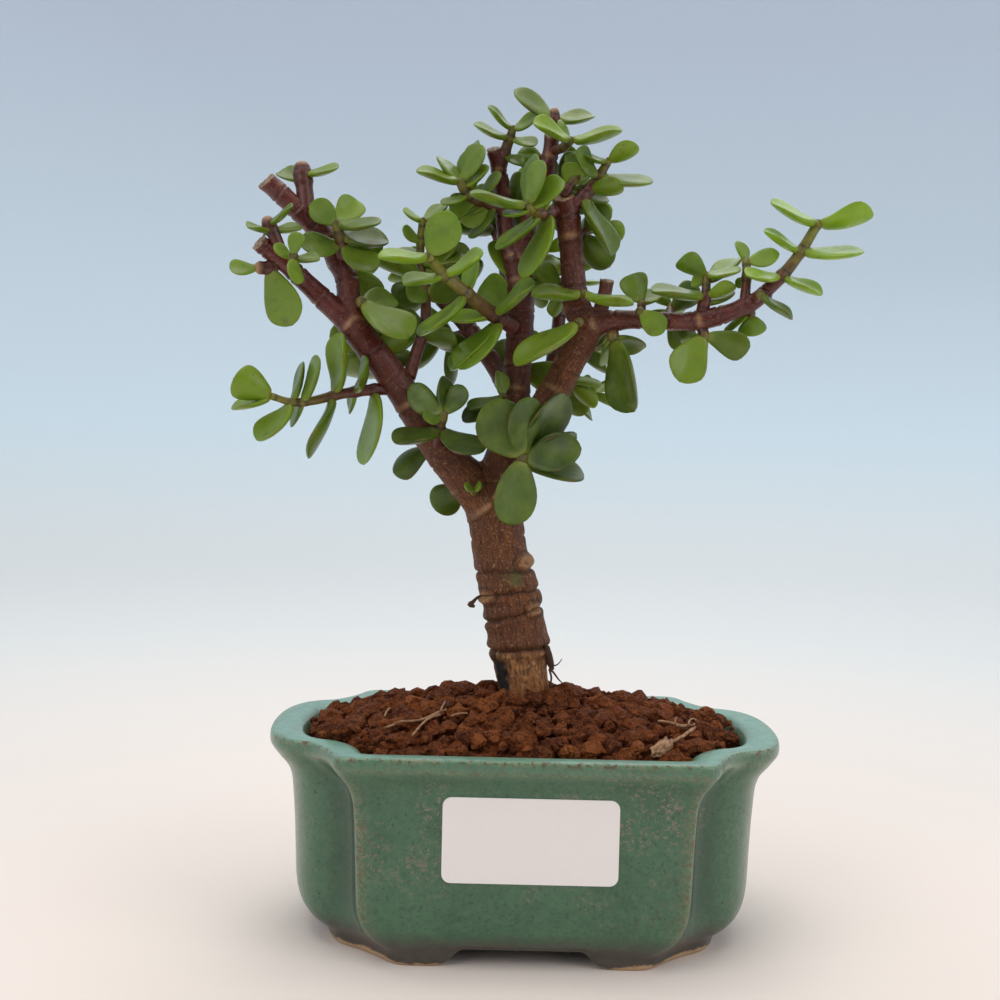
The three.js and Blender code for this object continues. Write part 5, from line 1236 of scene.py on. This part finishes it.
def at(points, share):
    """The point and direction at a share of a route's length."""
    lengths = np.linalg.norm(np.diff(points, axis=0), axis=1)
    left = share * lengths.sum()
    i = 0
    while i < len(lengths) - 1 and left > lengths[i]:
        left -= lengths[i]
        i += 1
    along = unit(points[i + 1] - points[i])
    return points[i] + along * left, along


def measured_leaves(shoot):
    root_radius, tip_radius, points, leaves = shoot
    stem = np.array(points, float)
    for share, x, y, z, width, face in leaves:
        root, along = at(stem, share)
        reach = np.array((x, y, z), float)
        axis = unit(reach)
        front = square_to(axis, np.array((0, -1.0, 0)))
        side = np.cross(axis, front)
        if side @ along < 0:
            side = -side
        normal = unit(front * face + side * math.sqrt(1 - face * face))
        stem_radius = root_radius + (tip_radius - root_radius) * share
        yield share, blade(root, axis, normal, float(np.linalg.norm(reach)), width, stem_radius)


def ruled_leaves(shoot):
    root_radius, tip_radius, points, pairs, longest, first_turn = shoot
    stem = np.array(points, float)
    for pair in range(pairs):
        young = pair / (pairs - 1)
        share = 0.35 + 0.65 * young
        root, along = at(stem, share)
        stem_radius = root_radius + (tip_radius - root_radius) * share
        spread = OLD_SPREAD + (YOUNG_SPREAD - OLD_SPREAD) * young
        turn = first_turn + 90 * pair + rule_draw(-12, 12)
        sideways = square_to(along, np.array((1, 0, 0.1)))
        for half in (0, 180):
            out = rotated(sideways, along, math.radians(turn + half))
            opened = math.radians(spread + rule_draw(-9, 9))
            axis = along * math.cos(opened) + out * math.sin(opened)
            length = longest * (1 - 0.42 * young) * rule_draw(0.9, 1.1)
            yield share, blade(root, axis, square_to(axis, along), length, 0.7 * length, stem_radius)


def stem_route(shoot):
    """[x, y, z, radius] rows along a stem, which ends in a bud."""
    root_radius, tip_radius, points = shoot[:3]
    radii = np.linspace(root_radius, tip_radius, len(points))
    rows = [(*p, radius) for p, radius in zip(points, radii)]
    tip, before = np.array(points[-1], float), np.array(points[-2], float)
    return rows + [(*(tip + unit(tip - before) * BUD), tip_radius / 2)]


ALL_SHOOTS = {**SHOOTS, **RULED_SHOOTS}
bar_rows = [("wood", a, b) for route in LIMBS.values() for a, b in zip(route, route[1:])]
for name, shoot in ALL_SHOOTS.items():
    route = stem_route(shoot)
    bar_rows += [(name, a, b) for a, b in zip(route, route[1:])]
bar_owner = np.array([owner for owner, _, _ in bar_rows])
bar_start = np.array([a[:3] for _, a, _ in bar_rows], float)
bar_run = np.array([b[:3] for _, _, b in bar_rows], float) - bar_start
bar_radius = np.array([max(a[3], b[3]) for _, a, b in bar_rows], float)


def bowed(leaf, along):
    return CUP * leaf["length"] * np.sin(np.pi * along)


def samples(leaf):
    along = np.repeat((0.4, 0.55, 0.7, 0.85, 1), 4)
    side = np.tile((-0.95, -0.4, 0.4, 0.95), 5) * np.interp(along, *OUTLINE) * leaf["width"]
    return (leaf["root"] + np.outer(along * leaf["length"], leaf["axis"])
            + np.outer(side, leaf["across"]) - np.outer(bowed(leaf, along), leaf["normal"]))


def touches(points, leaf, room):
    offset = points - leaf["root"]
    along = offset @ leaf["axis"] / leaf["length"]
    share = np.clip(along, 0, 1)
    inside = (along >= -0.05) & (along <= 1 + room / leaf["length"])
    inside &= np.abs(offset @ leaf["across"]) <= np.interp(share, *OUTLINE) * leaf["width"] + room
    inside &= np.abs(offset @ leaf["normal"] + bowed(leaf, share)) < leaf["thick"] / 2 + room
    return inside.any()


def is_clear(leaf, owner, others):
    points = samples(leaf)
    room = leaf["thick"] / 2 + LEAST_GAP
    strange = bar_owner != owner
    offset = points[:, None] - bar_start[strange]
    run = bar_run[strange]
    share = np.clip((offset * run).sum(2) / (run * run).sum(1), 0, 1)
    gap = np.linalg.norm(offset - share[..., None] * run, axis=2)
    if (gap < bar_radius[strange] + room).any():
        return False
    for other_owner, other in others:
        reach = other["length"] + leaf["length"] + 2
        if other_owner == owner or np.linalg.norm(other["root"] - leaf["root"]) > reach:
            continue
        if touches(points, other, room) or touches(samples(other), leaf, other["thick"] / 2 + LEAST_GAP):
            return False
    return True


# The bends tried in turn: degrees of lift, degrees of swing, and the share of the length kept.
BENDS = [(0, 0, 1)]
for keep in (1, 0.85, 0.7):
    for reach in (10, 20, 32, 45):
        for step in range(8):
            turn = math.pi / 4 * step
            BENDS.append((reach * math.sin(turn), reach * math.cos(turn), keep))


def bent(leaf, bend):
    lift, swing, keep = bend
    axis = rotated(leaf["axis"], leaf["across"], math.radians(-lift))
    normal = rotated(leaf["normal"], leaf["across"], math.radians(-lift))
    axis = rotated(axis, normal, math.radians(swing))
    width = leaf["width"] * math.sqrt(keep)
    return blade(leaf["root"], axis, normal, leaf["length"] * keep, width, leaf["stem_radius"])


def grown_leaves():
    """Every shoot's leaves, as [share of the stem, blade], bent clear of what they would touch."""
    grown, placed = {}, []
    for name, shoot in ALL_SHOOTS.items():
        grown[name] = []
        for share, wished in (measured_leaves if name in SHOOTS else ruled_leaves)(shoot):
            tries = (bent(wished, bend) for bend in BENDS)
            leaf = next((tried for tried in tries if is_clear(tried, name, placed)), None)
            if leaf:
                placed.append((name, leaf))
                grown[name].append((share, leaf))
    return grown


# The shape of one leaf, from neck to tip: stations as shares of its length, then at each the
# half width of an oval leaf and of one broader at its end, and the half thickness, as shares
# of the blade's. Each leaf lies between the two. A ball's poles are its neck and its tip.
LEAF_STATIONS = (0, 0.05, 0.18, 0.38, 0.6, 0.81, 0.955, 1.03)
OVAL_HALVES = (0, 0.19, 0.33, 0.5, 0.55, 0.48, 0.28, 0)
PADDLE_HALVES = (0, 0.19, 0.26, 0.41, 0.53, 0.55, 0.36, 0)
LEAF_DEPTHS = (0, 0.75, 0.68, 0.64, 0.58, 0.48, 0.3, 0)
LEAF_SIDES = 12


def add_leaf(bm, layers, leaf, youth, draw):
    count = len(LEAF_STATIONS) - 1
    ball = bmesh.ops.create_uvsphere(bm, u_segments=LEAF_SIDES, v_segments=count, radius=1)["verts"]
    tint, twist, curl, lean = draw(0, 1), draw(-0.12, 0.12), draw(-0.02, 0.03), draw(-0.05, 0.05)
    fold, start = draw(0.14, 0.55), 0.3 * leaf["stem_radius"] / leaf["length"]
    # Painted shade: leaves on shoots set near youth 0, in the shade under the crown, get a darker tone.
    tint *= min(1, 0.1 + 5 * youth)
    halves = np.array(OVAL_HALVES) + (np.array(PADDLE_HALVES) - OVAL_HALVES) * draw(0, 1)
    blunt = draw(0.78, 1.08)
    stalk = {name: Vector(leaf[name]) for name in ("root", "axis", "normal", "across")}
    for spot in ball:
        station = round(count * (1 - math.acos(max(-1, min(1, spot.co.z))) / math.pi))
        share = LEAF_STATIONS[station]
        angle = math.atan2(spot.co.y, spot.co.x)
        cos, sin = math.cos(angle), math.sin(angle)
        side = halves[station] * leaf["width"] * math.copysign(abs(cos) ** 0.8, cos)
        if station == count - 1:
            side *= blunt
        high = LEAF_DEPTHS[station] * leaf["thick"] * sin
        if station in (0, count):
            side = high = sin = 0
        edge = abs(side) / leaf["width"] * 2
        dish = fold * 0.5 * leaf["width"] * (edge ** 1.6 - 0.3) * min(1, 2.5 * share)
        bow = (CUP + curl) * leaf["length"] * math.sin(math.pi * min(1, share))
        side += lean * leaf["length"] * math.sin(math.pi * min(1, share))
        tilt = twist * share * side
        along = start + (1 - start) * share
        spot.co = stalk["root"] + stalk["axis"] * (along * leaf["length"]) + stalk["across"] * side
        spot.co += stalk["normal"] * (high + dish - bow + tilt)
        facts = {"young": youth, "tint": tint, "along": share, "edge": edge, "upper": sin}
        for name, value in facts.items():
            spot[layers[name]] = value


STEM_SIDES = 8
CUT_SHOOTS = ("left_cut_stub", "left_end_shoot", "left_outer_bud", "crown_right_top")  # pruned to a dry end


def add_stem(bm, layers, route, joints, youth, cut):
    """A tapered stem with a swollen joint under each pair of leaves, closed at both ends."""
    rows = smooth_route(route, 0.7)
    along, across, out = frame_along(rows)
    run = run_along(rows)
    ring = bmesh.ops.create_circle(bm, segments=STEM_SIDES, radius=1, cap_ends=True)["verts"]
    lines = list({edge for spot in ring for edge in spot.link_edges})
    last = Matrix()
    for i, row in enumerate(rows):
        if i:
            ring, lines = extruded(bm, lines)
        near = min((abs(run[i] - joint * run[-1]) for joint in joints), default=9)
        radius = row[3] * (1.1 + 0.22 * swell(near, 0.9))
        if i == len(rows) - 1:
            radius *= 0.45 + 0.45 * cut
        turned = Matrix((Vector(across[i]), Vector(out[i]), Vector(along[i]))).transposed().to_4x4()
        place = Matrix.Translation(row[:3]) @ turned @ Matrix.Scale(radius, 4)
        bmesh.ops.transform(bm, matrix=place @ last.inverted(), verts=ring)
        last = place
        for spot in ring:
            spot[layers["young"]] = youth
            spot[layers["along"]] = run[i] / run[-1] * (1 - cut)
            spot[layers["upper"]] = cut * eased(run[-1] - run[i], 0.9, 1.7)
            # Painted shade: a dark ring in the crease at the foot of each joint's swelling.
            spot[layers["edge"]] = 0.8 * swell(near - 1.2, 0.35)
    bmesh.ops.contextual_create(bm, geom=lines)


def leaf_finish():
    fixed = {"Specular IOR Level": 0.32, "Coat Weight": 0.18, "Coat Roughness": 0.18,
             "Subsurface Weight": 0.1, "Subsurface Scale": 0.0012, "Subsurface Radius": (0.5, 1.0, 0.2)}
    finish, tree, shader = start_finish("leaf_skin", fixed)
    where = places_of(tree)
    young, tint, edge = (attribute(tree, name) for name in ("young", "tint", "edge"))
    patchy = mottle(tree, where, 170, 4)
    # tint holds a random tone, lowered as painted shade on the shaded shoots under the crown.
    green = tinted(tree, span(tree, tint, 0.1, 0.9), (0.027, 0.058, 0.0016), (0.165, 0.25, 0.009))
    green = tinted(tree, span(tree, patchy, 0.4, 0.7, 0, 0.5), green, (0.15, 0.225, 0.016))
    fresh = tinted(tree, span(tree, patchy, 0.35, 0.7), (0.2, 0.36, 0.016), (0.33, 0.5, 0.03))
    green = tinted(tree, span(tree, young, 0.1, 0.95), green, fresh)
    # A pale tint on the upper face: partly a faint bloom, partly a painted sheen from the light above.
    bloom_and_sheen = sums(tree, "MULTIPLY", span(tree, attribute(tree, "upper"), 0.2, 1, 0, 0.2),
                 span(tree, mottle(tree, where, 420, 4, 0.65), 0.35, 0.7, 0.3, 1))
    green = tinted(tree, bloom_and_sheen, green, (0.22, 0.28, 0.09))
    # The neck is paler, the margin a thin reddish line, and small dark specks are scattered.
    green = tinted(tree, span(tree, attribute(tree, "along"), 0.02, 0.2, 0.6, 0), green, (0.25, 0.27, 0.045))
    margin = sums(tree, "MULTIPLY", span(tree, edge, 0.96, 1.04), span(tree, young, 0.1, 0.9, 0.4, 0.25))
    green = tinted(tree, margin, green, (0.22, 0.12, 0.035))
    # Old leaves carry a brownish stain here and there.
    stain = sums(tree, "MULTIPLY", span(tree, mottle(tree, where, 260, 5, 0.7), 0.56, 0.7, 0, 0.55),
                 span(tree, young, 0.2, 0.7, 1, 0.1))
    green = tinted(tree, stain, green, (0.085, 0.07, 0.012))
    cells = add(tree, "TexVoronoi", {"Vector": where, "Scale": 420}).outputs["Distance"]
    speck = sums(tree, "MULTIPLY", span(tree, cells, 0.06, 0.12, 1, 0),
                 span(tree, mottle(tree, where, 90), 0.46, 0.58, 0, 0.9))
    colour = tinted(tree, speck, green, (0.03, 0.022, 0.008))
    paint(tree, shader, colour, span(tree, mottle(tree, where, 500, 4), 0.3, 0.7, 0.32, 0.46))
    raised(tree, shader, sums(tree, "ADD", mottle(tree, where, 350, 3), mottle(tree, where, 2200, 3)),
           0.00012, 0.5)
    return finish


def stem_finish():
    finish, tree, shader = start_finish("young_stem", {"Specular IOR Level": 0.5, "Coat Weight": 0.1})
    where = places_of(tree)
    patchy = mottle(tree, where, 600, 4, 0.65)
    purple = tinted(tree, span(tree, patchy, 0.3, 0.7), (0.06, 0.0115, 0.009), (0.17, 0.04, 0.025))
    fresh = tinted(tree, span(tree, patchy, 0.3, 0.7), (0.16, 0.13, 0.014), (0.26, 0.28, 0.03))
    grown = sums(tree, "ADD", attribute(tree, "along"), sums(tree, "MULTIPLY", attribute(tree, "young"), 0.4))
    colour = tinted(tree, span(tree, grown, 0.45, 1.15), purple, fresh)
    # Painted shade: the crease beside each swollen joint is darkened almost black.
    colour = tinted(tree, attribute(tree, "edge"), colour, (0.016, 0.007, 0.004))
    dry = tinted(tree, mottle(tree, where, 900, 4), (0.2, 0.09, 0.04), (0.55, 0.33, 0.16))
    colour = tinted(tree, attribute(tree, "upper"), colour, dry)
    paint(tree, shader, colour, span(tree, patchy, 0.3, 0.7, 0.34, 0.5))
    raised(tree, shader, patchy, 0.0002, 0.6)
    return finish


USUAL_YOUTH = 0.18
LEAF_LAYERS = ("young", "tint", "along", "edge", "upper")
FULL_LEAF, TINY_LEAF = 13, 5  # lengths between which a leaf turns from old to young


def shoot_mesh(name, leaves, draw):
    """A shoot's stem, its leaves, and those that sit beside it straight on the wood."""
    bm = bmesh.new()
    layers = {layer: bm.verts.layers.float.new(layer) for layer in LEAF_LAYERS}
    base_youth = SHOOT_YOUTH.get(name, USUAL_YOUTH)
    route = stem_route(ALL_SHOOTS[name])
    stem_length = sum(math.dist(a[:3], b[:3]) for a, b in zip(route, route[1:]))
    joints = sorted({share * (1 - BUD / stem_length) for share, _ in leaves})
    add_stem(bm, layers, route, joints, base_youth, name in CUT_SHOOTS)
    for face in bm.faces:
        face.material_index = 1
    for share, leaf in leaves:
        small = max(0, min(1, (FULL_LEAF - leaf["length"]) / (FULL_LEAF - TINY_LEAF)))
        youth = min(1, base_youth + 0.4 * small * share + draw(-0.05, 0.08))
        add_leaf(bm, layers, leaf, max(0, youth), draw)
    for base, reach, width, face in LIMB_LEAVES.get(name, []):
        held = [1.5, 1.5, [base, np.array(base) + reach], [(0, *reach, width, face)]]
        _, leaf = next(measured_leaves(held))
        add_leaf(bm, layers, leaf, base_youth, draw)
    return set_down(bm)


leaf_skin, stem_skin = leaf_finish(), stem_finish()
for number, (name, leaves) in enumerate(grown_leaves().items()):
    bm = shoot_mesh(name, leaves, drawn_from(300 + number))
    piece = make_piece(name + "_foliage", bm, leaf_skin, stem_skin)
    smooth = piece.modifiers.new("smooth", "SUBSURF")
    smooth.levels = smooth.render_levels = 1
    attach(piece, "root")
    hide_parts(name)
